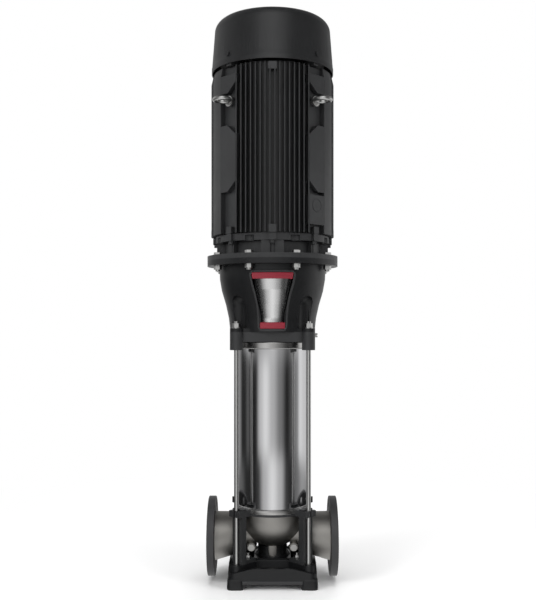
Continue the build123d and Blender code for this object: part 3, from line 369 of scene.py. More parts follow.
def loop_faces(rows, columns):
    """Quads of a grid that closes on itself both ways."""
    i, j = np.meshgrid(np.arange(rows), np.arange(columns), indexing="ij")
    i2, j2 = (i + 1) % rows, (j + 1) % columns
    quads = np.stack([i * columns + j, i2 * columns + j, i2 * columns + j2, i * columns + j2], axis=-1)
    return quads.reshape(-1, 4).tolist()


def turned_surface(profile, segments):
    """A profile carried round the upright axis: x = r cos t, y = r sin t, z = z, for t in 0 to 2 pi.

    The profile is a closed loop of (r, z) rows in metres, counter-clockwise seen with r to the right.
    """
    turn = full_turn(segments)
    radius, height = profile[:, 0], profile[:, 1]
    x = np.outer(np.cos(turn), radius)
    y = np.outer(np.sin(turn), radius)
    z = np.broadcast_to(height, x.shape)
    return np.stack([x, y, z], axis=-1).reshape(-1, 3), loop_faces(segments, len(profile))


def lofted(rings):
    """A closed skin through rings of equal point counts, (levels, points, 3), with flat ends."""
    rings = np.asarray(rings, dtype=float)
    levels, points = rings.shape[:2]
    i, j = np.meshgrid(np.arange(levels - 1), np.arange(points), indexing="ij")
    j2 = (j + 1) % points
    quads = np.stack([i * points + j, i * points + j2, (i + 1) * points + j2, (i + 1) * points + j], axis=-1)
    faces = quads.reshape(-1, 4).tolist()
    faces.append(list(range(points))[::-1])
    faces.append(list(range((levels - 1) * points, levels * points)))
    return rings.reshape(-1, 3), faces


def joined(pieces):
    """Several (vertices, faces) pairs as one pair."""
    vertices, faces, count = [], [], 0
    for piece_vertices, piece_faces in pieces:
        vertices.append(piece_vertices)
        faces += [[index + count for index in face] for face in piece_faces]
        count += len(piece_vertices)
    return np.concatenate(vertices), faces


# ---------------------------------------------------------------- objects
CAST_ANGLE = 28


def new_object(name, vertices, faces):
    """An object in the scene with a mesh of numpy vertices and lists of faces."""
    mesh = bpy.data.meshes.new(name)
    mesh.from_pydata(vertices.tolist(), [], faces)
    obj = bpy.data.objects.new(name, mesh)
    bpy.context.scene.collection.objects.link(obj)
    return obj


@contextmanager
def edited(obj):
    """An object's mesh, opened for editing and put back afterwards."""
    built = bmesh.new()
    built.from_mesh(obj.data)
    yield built
    built.to_mesh(obj.data)
    built.free()


def sharpen(obj, degrees):
    """Mark the edges that turn by more than an angle as sharp."""
    limit = radians(degrees)
    with edited(obj) as built:
        for edge in built.edges:
            edge.smooth = len(edge.link_faces) == 2 and edge.calc_face_angle(0.0) < limit
        for face in built.faces:
            face.smooth = True


def soft_edges(obj, width, angle=CAST_ANGLE, segments=3):
    """Round an object's edges when it is finished."""
    soft = obj.modifiers.new("edges", "BEVEL")
    soft.width = width
    soft.segments = segments
    soft.limit_method = "ANGLE"
    soft.angle_limit = radians(angle)
    soft.use_clamp_overlap = True
    soft.harden_normals = True
    soft.miter_outer = "MITER_ARC"


def show(name, vertices, faces, slot, body, stands_for, sharp=35, finish=None):
    """Put numpy vertices and faces in the scene as a finished piece that stands for CAD nodes."""
    obj = new_object(name, vertices, faces)
    sharpen(obj, sharp)
    give_finish(obj, finish or slot)
    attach(obj, body)
    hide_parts(*stands_for)
    return obj


def refined(node, slot, width=None, body="housing"):
    """A merged copy of a CAD node with its edges rounded, which stands for the node."""
    obj = bpy.data.objects.new(node + "_cast", NODES[node].data.copy())
    bpy.context.scene.collection.objects.link(obj)
    with edited(obj) as built:
        bmesh.ops.remove_doubles(built, verts=built.verts, dist=0.02 * MM)
        bmesh.ops.dissolve_limit(built, angle_limit=radians(0.4), verts=built.verts, edges=built.edges)
    sharpen(obj, CAST_ANGLE)
    if width:
        soft_edges(obj, width)
    give_finish(obj, OWN_FINISH.get(node, slot))
    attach(obj, body)
    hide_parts(node)
    return obj


def node_box(node):
    """Lowest and highest corner of a CAD node as numpy rows."""
    low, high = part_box(node)
    return np.array(low), np.array(high)


class PUMP_OT_finishes(bpy.types.Operator):
    """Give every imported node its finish"""

    bl_idname = "pump.finishes"
    bl_label = "Finishes"

    def execute(self, context):
        FINISHES.update({plain_name(mat): mat for mat in build_finishes()})
        for obj in NODES.values():
            slots = [plain_name(mat) for mat in obj.data.materials if mat]
            give_finish(obj, slots[0])
            split = obj.modifiers.new("smooth", "EDGE_SPLIT")
            split.split_angle = radians(30)
        return {"FINISHED"}


# ---------------------------------------------------------------- sleeve and castings
SLEEVE_WALL = 0.004

# CAD nodes that only need rounded edges, by slot
CASTINGS = (
    ("black_paint", ("base_plate", "bowl_frame", "pump_head", "de_shield", "nde_shield")),
    ("fan_cover_paint", ("fan_cover",)),
    ("flange_paint", ("inlet_flange", "outlet_flange")),
    ("cast_stainless", ("pump_base", "sleeve_collar")),
    ("box_paint", ("terminal_box", "terminal_lid")),
    ("bright_fasteners", ("staybolts", "staybolt_nuts", "frame_studs", "eye_bolts", "flange_fasteners")),
    ("machined_steel", ("drain_plugs",)),
)


class PUMP_OT_sleeve(bpy.types.Operator):
    """Build the bright outer sleeve"""

    bl_idname = "pump.sleeve"
    bl_label = "Outer sleeve"

    def execute(self, context):
        low, high = node_box("outer_sleeve")
        outer, inner = high[0], high[0] - SLEEVE_WALL
        wall = rounded_loop([(inner, low[2]), (outer, low[2]), (outer, high[2]), (inner, high[2])], 0.0008, 4)
        show("outer_sleeve_tube", *turned_surface(wall, 256), "polished_sleeve", "housing", ["outer_sleeve"])
        return {"FINISHED"}


class PUMP_OT_castings(bpy.types.Operator):
    """Round the edges of the cast pieces"""

    bl_idname = "pump.castings"
    bl_label = "Castings"

    def execute(self, context):
        sizes, _ = settings()
        for slot, nodes in CASTINGS:
            for node in nodes:
                refined(node, slot, sizes.cast_edge)
        return {"FINISHED"}


# ---------------------------------------------------------------- motor
# sides and corners by the angle they face, in degrees
SIDES = (0, 90, 180, 270)
CORNERS = (45, 135, 225, 315)
PAD_CORNERS = (135, 315)
SIDE_FACES = (0, 180)
MOTOR_FRONT = 270
MOTOR_BACK = 90
FRONT_FINS = 16
SIDE_FINS = 8

# radii from the motor's axis
BARREL = 0.175
FIN_FLOOR = 0.1885
CORNER_FACE = 0.190
TOP_TIP = 0.204
BACK_TIP = 0.2055

# heights above the frame's foot, or below its top
LEAD_IN = 0.032
FOOT_GAP = 0.002
UPPER_PAD_LOW, UPPER_PAD_DROP, UPPER_PAD_CUT = 0.464, 0.030, 0.032
LOWER_PAD_LOW, LOWER_PAD_HIGH, LOWER_PAD_CUT = 0.138, 0.359, 0.034
RING_PAD_LOW, RING_PAD_HIGH, RING_HEIGHT = 0.030, 0.128, 0.094

# strips beside a corner, in degrees from it
STRIP_FIRST, STRIP_LAST = 9.6, 26.5

# plates: face radius, low and high, half width, depth
CORNER_LUG = (0.2055, 0.0, 0.024, 0.012, 0.04)
SIDE_LUG = (0.2115, 0.0, 0.026, 0.013, 0.04)
BOX_SEAT = (0.208, 0.250, 0.440, 0.088, 0.046)
TOP_LUG = (0.2085, -0.027, -0.002, 0.0145, 0.03)

# the ring on a pad and its plug, as (radius, out) from the pad's face
RING_SECTION = ((0.0195, 0.0), (0.0225, 0.0), (0.0225, 0.0018), (0.0195, 0.0018))
RING_SUNK = 0.0006
PLUG_RINGS = ((0.0036, -0.004), (0.0042, -0.0005), (0.0052, 0.0008))


def tip_radius(z, top, tip):
    """Fin tip radius at a height: full up to the lead-in, then falling evenly to the frame's top."""
    share = np.clip((z - (top - LEAD_IN)) / LEAD_IN, 0, 1)
    return tip + (TOP_TIP - tip) * share


def fin(across, angle, levels, tip, thickness):
    """One fin: a tapered section with a rounded tip that ends on the frame's round envelope.

    Half width grows from t/2 at the tip to 0.8 t at the root; the tip is half a turn of radius t/2.
    """
    half = thickness / 2
    turn = np.linspace(0, pi, 6)
    root = [(across - 1.6 * half, BARREL * 0.8), (across + 1.6 * half, BARREL * 0.8)]
    rings = []
    for z in levels:
        out = np.sqrt(tip_radius(z, levels[-1], tip) ** 2 - across ** 2) - half
        round_tip = np.column_stack([across - half * np.cos(turn), out + half * np.sin(turn)])[::-1]
        rings.append(at_height(turned_outline(np.concatenate([round_tip, root]), angle), z))
    return lofted(rings)


def fin_side(angle):
    """Which way along a corner's tangent the fins of the front or back lie."""
    return 1 if angle % 180 == 45 else -1


def corner_pad(angle, low, high, face, low_cut=0.0, high_cut=0.0, half=0.036, depth=0.034):
    """A raised pad on a corner: an outline (along, z) carried outwards, its fin-side corners cut away."""
    corners = [(-half, low), (half - 1.2 * low_cut, low), (half, low + low_cut),
               (half, high - high_cut), (half - 1.2 * high_cut, high), (-half, high)]
    corners = [point for k, point in enumerate(corners) if point != corners[k - 1]]
    corners = np.array(corners if fin_side(angle) > 0 else corners[::-1])
    rings = []
    for out in (face - depth, face):
        plan = turned_outline(at_height(fin_side(angle) * corners[:, :1], out), angle)
        rings.append(np.column_stack([plan, corners[:, 1]]))
    return lofted(rings)


def corner_strip(angle, levels, tip):
    """The plain outer strip beside a corner: an arc of the envelope between two angles from the corner.

    Outside x = R cos a, y = R sin a, with R the tip radius at that height; inside R is 0.95 of the barrel.
    """
    away = -fin_side(angle)
    sweep = np.radians(angle + away * np.linspace(STRIP_FIRST, STRIP_LAST, 9))
    arc = np.column_stack([np.cos(sweep), np.sin(sweep)])
    rings = []
    for z in levels:
        ring = np.concatenate([tip_radius(z, levels[-1], tip) * arc, BARREL * 0.95 * arc[::-1]])
        rings.append(at_height(ring if away > 0 else ring[::-1], z))
    return lofted(rings)


def plate(angle, base, face, low, high, half, depth):
    """An upright plate on the side that faces an angle, between two heights above a base."""
    outline = [(-half, face), (half, face), (half, face - depth), (-half, face - depth)]
    plan = turned_outline(outline, angle)
    return lofted([at_height(plan, base + low), at_height(plan, base + high)])


def pad_ring(angle, face, height):
    """A thin raised ring on a pad: a rounded section carried round an axis that points outwards.

    along = r cos t, z = height + r sin t, out = face + o, for (r, o) on the section and t in 0 to 2 pi
    """
    turn = full_turn(48)
    section = rounded_loop(RING_SECTION, 0.0008, 4)
    along = np.outer(np.cos(turn), section[:, 0])
    rise = np.outer(np.sin(turn), section[:, 0])
    out = np.broadcast_to(section[:, 1], along.shape) + face - RING_SUNK
    plan = turned_outline(np.stack([along, out], axis=-1), angle)
    vertices = np.concatenate([plan, (height + rise)[..., None]], axis=-1).reshape(-1, 3)
    return vertices, loop_faces(48, len(section))


def pad_plug(angle, face, height):
    """The small plug inside a pad's ring: along = r cos t, z = height + r sin t, out = face + o."""
    turn = full_turn(24)
    rings = []
    for radius, out in PLUG_RINGS:
        plan = turned_outline(np.column_stack([radius * np.cos(turn), np.full(24, face + out)]), angle)
        rings.append(np.column_stack([plan, height + radius * np.sin(turn)]))
    return lofted(rings)


def motor_fins(sizes, levels):
    """The fins of all four sides."""
    fins = []
    for angle in SIDES:
        count = SIDE_FINS if angle in SIDE_FACES else FRONT_FINS
        tip = BACK_TIP if angle == MOTOR_BACK else sizes.fin_tip
        for k in range(count):
            across = (k - (count - 1) / 2) * sizes.fin_pitch
            fins.append(fin(across, angle, levels, tip, sizes.fin_thickness))
    return joined(fins)


def motor_body(sizes, levels, bottom):
    """The barrel between the fins, the corner pads and strips, and the lugs."""
    top, face = levels[-1], sizes.pad_face
    barrel = [(BARREL - 0.015, bottom), (FIN_FLOOR, bottom), (FIN_FLOOR, top), (BARREL - 0.015, top)]
    body = [turned_surface(np.array(barrel), 160)]
    for angle in CORNERS:
        body.append(corner_pad(angle, bottom + FOOT_GAP, top - 0.001, CORNER_FACE, depth=0.03))
        body.append(corner_pad(angle, bottom + UPPER_PAD_LOW, top - UPPER_PAD_DROP, face, UPPER_PAD_CUT))
        body.append(corner_pad(angle, bottom + LOWER_PAD_LOW, bottom + LOWER_PAD_HIGH, face,
                               LOWER_PAD_CUT, LOWER_PAD_CUT))
        body.append(corner_strip(angle, levels, sizes.fin_tip))
        body.append(plate(angle, bottom, *CORNER_LUG))
    for angle in PAD_CORNERS:
        body.append(corner_pad(angle, bottom + RING_PAD_LOW, bottom + RING_PAD_HIGH, face))
    for angle in SIDES:
        body.append(plate(angle, bottom, *SIDE_LUG))
    body.append(plate(MOTOR_BACK, bottom, *BOX_SEAT))
    body.append(plate(MOTOR_FRONT, top, *TOP_LUG))
    return joined(body)


class PUMP_OT_motor(bpy.types.Operator):
    """Build the motor frame: ribbed sides, corner pads and strips"""

    bl_idname = "pump.motor"
    bl_label = "Motor frame"

    def execute(self, context):
        sizes, _ = settings()
        low, high = node_box("motor_frame")
        bottom, top = low[2], high[2]
        levels = (bottom + FOOT_GAP, top - LEAD_IN, top - LEAD_IN * 0.5, top)
        show("motor_fins", *motor_fins(sizes, levels), "black_paint", "housing", ["motor_frame"], sharp=50)
        body = motor_body(sizes, levels, bottom)
        pads = show("motor_pads", *body, "black_paint", "housing", ["motor_frame"])
        soft_edges(pads, 0.0014)
        rings = [make(angle, sizes.pad_face, bottom + RING_HEIGHT)
                 for angle in PAD_CORNERS for make in (pad_ring, pad_plug)]
        show("pad_rings", *joined(rings), "black_paint", "housing", ["motor_frame"])
        return {"FINISHED"}


# ---------------------------------------------------------------- stool
# the wall's radius by share of its height
STOOL_PROFILE = ((0.0, 0.146), (0.205, 0.151), (0.41, 0.161), (0.62, 0.175), (0.8, 0.182), (1.0, 0.184))
STOOL_LOW = 0.852
STOOL_BODY = 0.224

# arched wrench pockets over the staybolts
STAYBOLT_REACH = 0.120
POCKET_RADIUS = 0.034
POCKET_WALL = 0.006
POCKET_FLOOR = 0.864
POCKET_SPRING = 0.939
WELL_INSET = 0.0008


def skin_radius(z):
    """Outer radius of the stool wall at a height."""
    share, radius = np.array(STOOL_PROFILE).T
    return np.interp((np.asarray(z, dtype=float) - STOOL_LOW) / STOOL_BODY, share, radius)


def domed_levels(radius, low, last, rise):
    """Radius and height up a domed column: r = R below the spring, then r = R cos u, z = spring + R sin u."""
    dome = [(radius * cos(u), POCKET_SPRING + radius * sin(u)) for u in np.linspace(0, last, rise)]
    return [(radius, low)] + dome


def pocket_column(x, y):
    """The room of a wrench pocket: a round column with a domed top about a staybolt."""
    turn = full_turn(40)
    return lofted([at_height(np.column_stack([x + r * np.cos(turn), y + r * np.sin(turn)]), z)
                   for r, z in domed_levels(POCKET_RADIUS, POCKET_FLOOR, 1.45, 9)])


def pocket_well(angle, arc=14):
    """The solid behind a wrench pocket: the part of a domed column that lies inside the stool's wall.

    A level is the lens of two circles: the column's, of radius r about the staybolt at a distance d, and the
    wall's, of radius R. They meet at cos f = (R^2 + d^2 - r^2) / 2Rd from the axis and at
    cos g = (r^2 + d^2 - R^2) / 2rd from the staybolt.
    """
    d = STAYBOLT_REACH * 2 ** 0.5
    a = radians(angle)
    rings = []
    for r, z in domed_levels(POCKET_RADIUS + POCKET_WALL, POCKET_FLOOR - 0.004, 1.1, 8):
        wall = float(skin_radius(z)) - WELL_INSET
        if d - r >= wall - 0.001:
            break
        f = np.arccos((wall ** 2 + d ** 2 - r ** 2) / (2 * wall * d))
        g = np.arccos((r ** 2 + d ** 2 - wall ** 2) / (2 * r * d))
        near = np.linspace(g, -g, arc)
        far = np.linspace(-f, f, arc)[1:-1]
        x = np.concatenate([d - r * np.cos(near), wall * np.cos(far)])
        y = np.concatenate([-r * np.sin(near), wall * np.sin(far)])
        rings.append(at_height(np.column_stack([x * cos(a) - y * sin(a), x * sin(a) + y * cos(a)]), z))
    return lofted(rings)


def helper_solid(name, pieces):
    """A solid that only shapes another one, with its skin facing outwards."""
    obj = new_object(name, *joined(pieces))
    with edited(obj) as built:
        bmesh.ops.recalc_face_normals(built, faces=built.faces)
    return obj


def shaped(obj, steps):
    """Join or cut an object by helper solids, keep the result and take the helpers away."""
    for operation, helper in steps:
        cut = obj.modifiers.new("shape", "BOOLEAN")
        cut.operation = operation
        cut.solver = "MANIFOLD"
        cut.object = helper
    result = bpy.data.meshes.new_from_object(obj.evaluated_get(bpy.context.evaluated_depsgraph_get()))
    obj.modifiers.clear()
    obj.data = result
    for _, helper in steps:
        bpy.data.objects.remove(helper)


class PUMP_OT_stool(bpy.types.Operator):
    """Build the motor stool with its arched wrench pockets"""

    bl_idname = "pump.stool"
    bl_label = "Motor stool"

    def execute(self, context):
        sizes, _ = settings()
        stool = refined("motor_stool", "black_paint")
        wells = helper_solid("wells", [pocket_well(angle) for angle in CORNERS])
        pockets = helper_solid("pockets", [pocket_column(x, y) for x in (STAYBOLT_REACH, -STAYBOLT_REACH)
                                           for y in (STAYBOLT_REACH, -STAYBOLT_REACH)])
        shaped(stool, [("UNION", wells), ("DIFFERENCE", pockets)])
        sharpen(stool, CAST_ANGLE)
        soft_edges(stool, sizes.cast_edge)
        # the stool takes the darker copy of the motor paint, which paints shade on it
        give_finish(stool, OWN_FINISH["motor_stool"])
        return {"FINISHED"}


# ---------------------------------------------------------------- guard
WINDOW_LOW = 0.862
WINDOW_HIGH = 1.049
WINDOW_SHARES = (0.0, 0.2, 0.42, 0.6, 0.75, 0.86, 1.0)
WINDOW_HALVES = (0.0425, 0.0435, 0.047, 0.054, 0.0622, 0.0672, 0.0705)

SHELL_GAP = 0.002
SHELL_DEPTH = 0.0050
SHELL_LAP = 0.005
SHELL_SHEET = 0.0018

TRIM_HEIGHT = 0.022
TRIM_GAP = 0.001
TRIM_CLEARANCE = 0.0012
TRIM_PROUD = 0.0012
TRIM_BACK = 0.0056
TRIM_LEAST = 0.003

RIM_CORNER = 0.006
RIM_OFFSET = 0.0035
RIM_HALF = 0.0038
RIM_RISE = 0.0026
RIM_TILT = 0.12
RIM_SIDES = 14


def window_half(z):
    """Half the window's width at a height: a slow waist low down, then a flare to the top."""
    share = (np.asarray(z, dtype=float) - WINDOW_LOW) / (WINDOW_HIGH - WINDOW_LOW)
    return np.interp(share, WINDOW_SHARES, WINDOW_HALVES)


def shell_curve(sizes, z):
    """Radius of the guard shell's curve, which grows evenly from its foot to its top."""
    foot, top = WINDOW_LOW + SHELL_GAP, WINDOW_HIGH - SHELL_GAP
    share = np.clip((z - foot) / (top - foot), 0, 1)
    return sizes.guard_bottom + (sizes.guard_top - sizes.guard_bottom) * share


def guard_shell(sizes, side):
    """A curved sheet behind a window: x = (c - s) sin(a u), y = f - c + (c - s) cos(a u), for u in -1 to 1.

    c is the sheet's curve, s the depth into the sheet, f the sheet's distance from the axis, and a the angle
    that laps the window's side.
    """
    z = np.linspace(WINDOW_LOW + SHELL_GAP, WINDOW_HIGH - SHELL_GAP, 60)
    curve = shell_curve(sizes, z)
    front = skin_radius(z) - SHELL_DEPTH
    reach = np.arcsin(np.clip((window_half(z) + SHELL_LAP) / curve, 0, 0.95))
    turn = reach[:, None] * np.linspace(-1, 1, 64)
    skins = []
    for inset in (0.0, SHELL_SHEET):
        radius = curve[:, None] - inset
        x = radius * np.sin(turn)
        y = side * (front[:, None] - curve[:, None] + radius * np.cos(turn))
        skins.append(np.stack([x, y, np.broadcast_to(z[:, None], x.shape)], axis=-1))
    section = np.concatenate([skins[0], skins[1][:, ::-1]], axis=1)
    return lofted(section if side < 0 else section[:, ::-1])


def trim_bar(sizes, side, low, high):
    """A bar across a window's end: y = sqrt(R^2 - x^2) outside, and the guard shell's curve inside."""
    rings = []
    for z in np.linspace(low, high, 5):
        half = float(window_half(z)) - TRIM_CLEARANCE
        across = np.linspace(-half, half, 25)
        radius = float(skin_radius(z)) + TRIM_PROUD
        curve = shell_curve(sizes, z)
        outer = np.sqrt(radius ** 2 - across ** 2)
        inner = radius - TRIM_BACK - curve + np.sqrt(np.clip(curve ** 2 - across ** 2, 0.0001, None))
        inner = np.minimum(inner, outer - TRIM_LEAST)
        outline = np.concatenate([np.column_stack([across, side * outer]),
                                  np.column_stack([across, side * inner])[::-1]])
        rings.append(at_height(outline if side < 0 else outline[::-1], z))
    return lofted(rings)


def window_rim(side):
    """A raised bead round a window: a half-round section carried along the window's outline on the skin.

    The outline is (x, z) = (+-w(z), z) up the sides and straight across its ends, with y = sqrt(R^2 - x^2).
    """
    z_side = np.linspace(WINDOW_LOW + RIM_CORNER, WINDOW_HIGH - RIM_CORNER, 50)
    w = window_half(z_side) + RIM_OFFSET
    across_top = np.linspace(w[-1] - RIM_CORNER, -w[-1] + RIM_CORNER, 24)
    across_low = np.linspace(-w[0] + RIM_CORNER, w[0] - RIM_CORNER, 20)
    path = np.concatenate([
        np.column_stack([w, z_side]),
        np.column_stack([across_top, np.full(24, WINDOW_HIGH + RIM_OFFSET)]),
        np.column_stack([-w[::-1], z_side[::-1]]),
        np.column_stack([across_low, np.full(20, WINDOW_LOW - RIM_OFFSET)]),
    ])
    radius = skin_radius(path[:, 1])
    out = side * np.sqrt(radius ** 2 - path[:, 0] ** 2)
    centre = np.column_stack([path[:, 0], out, path[:, 1]])
    normal = np.column_stack([path[:, 0] / radius, out / radius, np.full(len(path), -RIM_TILT)])
    normal /= np.linalg.norm(normal, axis=1)[:, None]
    along = np.roll(centre, -1, axis=0) - np.roll(centre, 1, axis=0)
    along /= np.linalg.norm(along, axis=1)[:, None]
    sideways = np.cross(normal, along)
    turn = full_turn(RIM_SIDES)[None, :, None]
    ring = (centre[:, None] + RIM_HALF * np.cos(turn) * sideways[:, None]
            + RIM_RISE * np.sin(turn) * normal[:, None])
    faces = loop_faces(len(path), RIM_SIDES)
    return ring.reshape(-1, 3), faces if side < 0 else [face[::-1] for face in faces]


class PUMP_OT_guard(bpy.types.Operator):
    """Build the curved guard shells, their trim bars and the window rims"""

    bl_idname = "pump.guard"
    bl_label = "Coupling guard"

    def execute(self, context):
        sizes, _ = settings()
        show("guard_shell_front", *guard_shell(sizes, -1), "guard_steel", "housing", ["guard_front"])
        show("guard_shell_back", *guard_shell(sizes, 1), "guard_steel", "housing", ["guard_back"])
        ends = ((WINDOW_LOW + TRIM_GAP, WINDOW_LOW + TRIM_HEIGHT),
                (WINDOW_HIGH - TRIM_HEIGHT, WINDOW_HIGH - TRIM_GAP))
        bars = [trim_bar(sizes, side, *end) for side in (-1, 1) for end in ends]
        trims = show("guard_trim_bars", *joined(bars), "red_trim", "housing", ["guard_trims"])
        soft_edges(trims, 0.0022, 40, 4)
        rims = [window_rim(side) for side in (-1, 1)]
        show("window_rims", *joined(rims), "black_paint", "housing", ["motor_stool"])
        return {"FINISHED"}


# ---------------------------------------------------------------- base
FOOT_INSET = 0.0252
FOOT_POINTS = 48
FOOT_SQUARENESS = 0.45
# half width and height up a foot
FOOT_RINGS = ((0.0272, 0.0), (0.0286, 0.002), (0.0288, 0.012), (0.0280, 0.028), (0.0262, 0.0345),
              (0.0225, 0.0378), (0.015, 0.039))
# the lip's section, outwards from the apron's face and upwards
LIP_SECTION = ((-0.004, 0.0195), (0.0034, 0.0192), (0.0036, 0.0240), (0.0004, 0.0300), (-0.004, 0.0310))
LIP_END = 0.048
# face, low and high, half width, depth
PEDESTAL_PANEL = (0.0636, 0.0500, 0.0768, 0.0600, 0.004)
BOWL_RIM_SECTION = ((0.1290, 0.2440), (0.1319, 0.2440), (0.1319, 0.2573), (0.1245, 0.2573))


def foot(x, y):
    """A rounded square foot: half sizes h, with x = h |cos t|^p and y = h |sin t|^p in each quarter turn."""
    turn = full_turn(FOOT_POINTS)
    unit = np.column_stack([np.sign(wave) * np.abs(wave) ** FOOT_SQUARENESS
                            for wave in (np.cos(turn), np.sin(turn))])
    return lofted([at_height(np.array([x, y]) + half * unit, z) for half, z in FOOT_RINGS])


def lip(angle, face):
    """The lip along an apron's lower edge: its section (out, z) carried straight along the side."""
    section = rounded_loop([(face + out, z) for out, z in LIP_SECTION], 0.0016, 5)
    rings = []
    for along in np.linspace(-(face - LIP_END), face - LIP_END, 9):
        plan = turned_outline(np.column_stack([np.full(len(section), along), section[:, 0]]), angle)
        rings.append(np.column_stack([plan, section[:, 1]]))
    return lofted(rings)


class PUMP_OT_base(bpy.types.Operator):
    """Build the base's rounded feet, lower lips and pedestal panels, and the bowl's steel rim"""

    bl_idname = "pump.base"
    bl_label = "Base details"

    def execute(self, context):
        face = node_box("base_plate")[1][0]
        reach = face - FOOT_INSET
        feet = [foot(x, y) for x in (reach, -reach) for y in (reach, -reach)]
        lips = [lip(angle, face) for angle in SIDES]
        panels = [plate(angle, 0.0, *PEDESTAL_PANEL) for angle in SIDES]
        # the feet take the darker copy of the motor paint, which is painted shade
        show("base_feet", *joined(feet), "black_paint", "housing", ["base_plate"], sharp=45,
             finish="shade_darkened_black")
        show("base_lips", *joined(lips), "black_paint", "housing", ["base_plate"], sharp=60)
        raised = show("pedestal_panels", *joined(panels), "black_paint", "housing", ["base_plate"])
        soft_edges(raised, 0.0012)
        band = rounded_loop(BOWL_RIM_SECTION, 0.0012, 5)
        show("bowl_rim_band", *turned_surface(band, 192), "cast_stainless", "housing", ["pump_base"],
             finish="collar_steel")
        return {"FINISHED"}


# ---------------------------------------------------------------- stage
# grey levels of the studio cards by degrees from the front, towards the discharge side
LEVEL_BANDS = ((-180, 0.80), (-150, 0.55), (-125, 0.25), (-112, 0.03), (-98, 0.03), (-84, 0.13), (-70, 0.0),
               (-54, 0.025), (-38, 0.72), (-22, 1.0), (0, 0.60), (24, 0.24), (46, 0.02), (66, 0.12),
               (84, 0.31), (98, 0.95), (118, 0.80), (150, 0.60), (180, 0.80))
RAISED_BANDS = ((-180, 0.6), (-130, 0.6), (-105, 1.15), (-80, 1.15), (-55, 0.35), (-25, 0.5), (0, 0.7),
                (25, 0.4), (50, 0.2), (80, 0.9), (105, 1.0), (130, 0.55), (180, 0.6))
HIGH_BANDS = ((-180, 0.35), (-120, 0.40), (-90, 0.30), (-60, 0.12), (-38, 0.15), (-18, 1.1), (0, 1.5),
              (18, 1.0), (38, 0.10), (60, 0.06), (90, 0.15), (120, 0.25), (180, 0.35))
LOW_BANDS = ((-180, 0.3), (-120, 0.15), (-90, 0.03), (-60, 0.02), (-46, 0.06), (-26, 0.60), (0, 1.0),
             (26, 0.60), (46, 0.06), (60, 0.03), (84, 0.20), (110, 0.40), (150, 0.3), (180, 0.3))
UNDER_BANDS = ((-180, 0.78), (180, 0.78))

# where each set of bands takes over, by height from 0 at the shell's foot to 1 at its top
CARD_SETS = (
    (RAISED_BANDS, ((0.53, 0.0), (0.58, 1.0))),
    (HIGH_BANDS, ((0.62, 0.0), (0.67, 1.0))),
    (LOW_BANDS, ((0.345, 1.0), (0.378, 0.0))),
    (UNDER_BANDS, ((0.13, 1.0), (0.22, 0.0))),
)
OVERHEAD_FADE = ((0.0, 1.0), (0.84, 1.0), (1.0, 0.2))
CARD_RADIUS = 7.0
CARD_CENTRE = 0.9
CARD_COLUMNS, CARD_ROWS = 73, 45

FLOOR_HALF = 30.0
# the floor turns white between these shares of its fading length
FLOOR_FADE = ((0.14, 0.0), (0.50, 1.0))
FLOOR_FADE_LENGTH = 4.0

# name, place, target, width, height and watts
LAMPS = (
    ("key_lamp", (-2.6, -2.6, 2.4), (0, 0, 1.0), 1.6, 2.8, 95),
    ("fill_lamp", (2.8, -2.3, 1.8), (0, 0, 1.0), 1.6, 2.6, 60),
    ("top_lamp", (0, -0.3, 4.6), (0, 0, 0.6), 2.6, 2.6, 80),
    ("back_lamp", (0.6, 3.2, 2.2), (0, 0, 1.0), 2.4, 2.4, 55),
)
LENS = 51
VIEW_SHIFT = (-0.0075, 0.0333)


def seen_directly(tree):
    """1 for camera, glossy and transmitted rays, 0 for the rest."""
    path = tree.nodes.new("ShaderNodeLightPath").outputs
    glossy = maths(tree, "MAXIMUM", path["Is Camera Ray"], path["Is Glossy Ray"])
    return maths(tree, "MAXIMUM", glossy, path["Is Transmission Ray"])


def studio_world():
    """White surroundings for the camera, gloss and glass, and a softer level for matt surfaces."""
    world = bpy.data.worlds.new("studio")
    bpy.context.scene.world = world
    world.use_nodes = True
    tree = world.node_tree
    tree.nodes.clear()
    levels = []
    for strength in (0.5, 1.0):
        white = tree.nodes.new("ShaderNodeBackground")
        white.inputs["Color"].default_value = (1, 1, 1, 1)
        white.inputs["Strength"].default_value = strength
        levels.append(white.outputs["Background"])
    out = tree.nodes.new("ShaderNodeOutputWorld")
    tree.links.new(mixed_shader(tree, seen_directly(tree), *levels), out.inputs["Surface"])


def band_ramp(tree, share, bands):
    """Bands given by degrees from the front, over a share of the full turn."""
    return stops_ramp(tree, share, [(degrees / 360 + 0.5, level) for degrees, level in bands], "EASE")


def card_shell():
    """A large round shell, open at its foot.

    Point = centre + R (cos e sin t, -cos e cos t, sin e), for t in -pi to pi and e in -86 to 90 degrees.
    """
    t, e = np.meshgrid(np.linspace(-pi, pi, CARD_COLUMNS), np.radians(np.linspace(-86, 90, CARD_ROWS)),
                       indexing="ij")
    points = CARD_RADIUS * np.stack([np.cos(e) * np.sin(t), -np.cos(e) * np.cos(t), np.sin(e)], axis=-1)
    i, j = np.meshgrid(np.arange(CARD_COLUMNS - 1), np.arange(CARD_ROWS - 1), indexing="ij")
    corner, beside = i * CARD_ROWS + j, (i + 1) * CARD_ROWS + j
    faces = np.stack([corner, corner + 1, beside + 1, beside], axis=-1).reshape(-1, 4)
    return points.reshape(-1, 3) + (0, 0, CARD_CENTRE), faces.tolist()


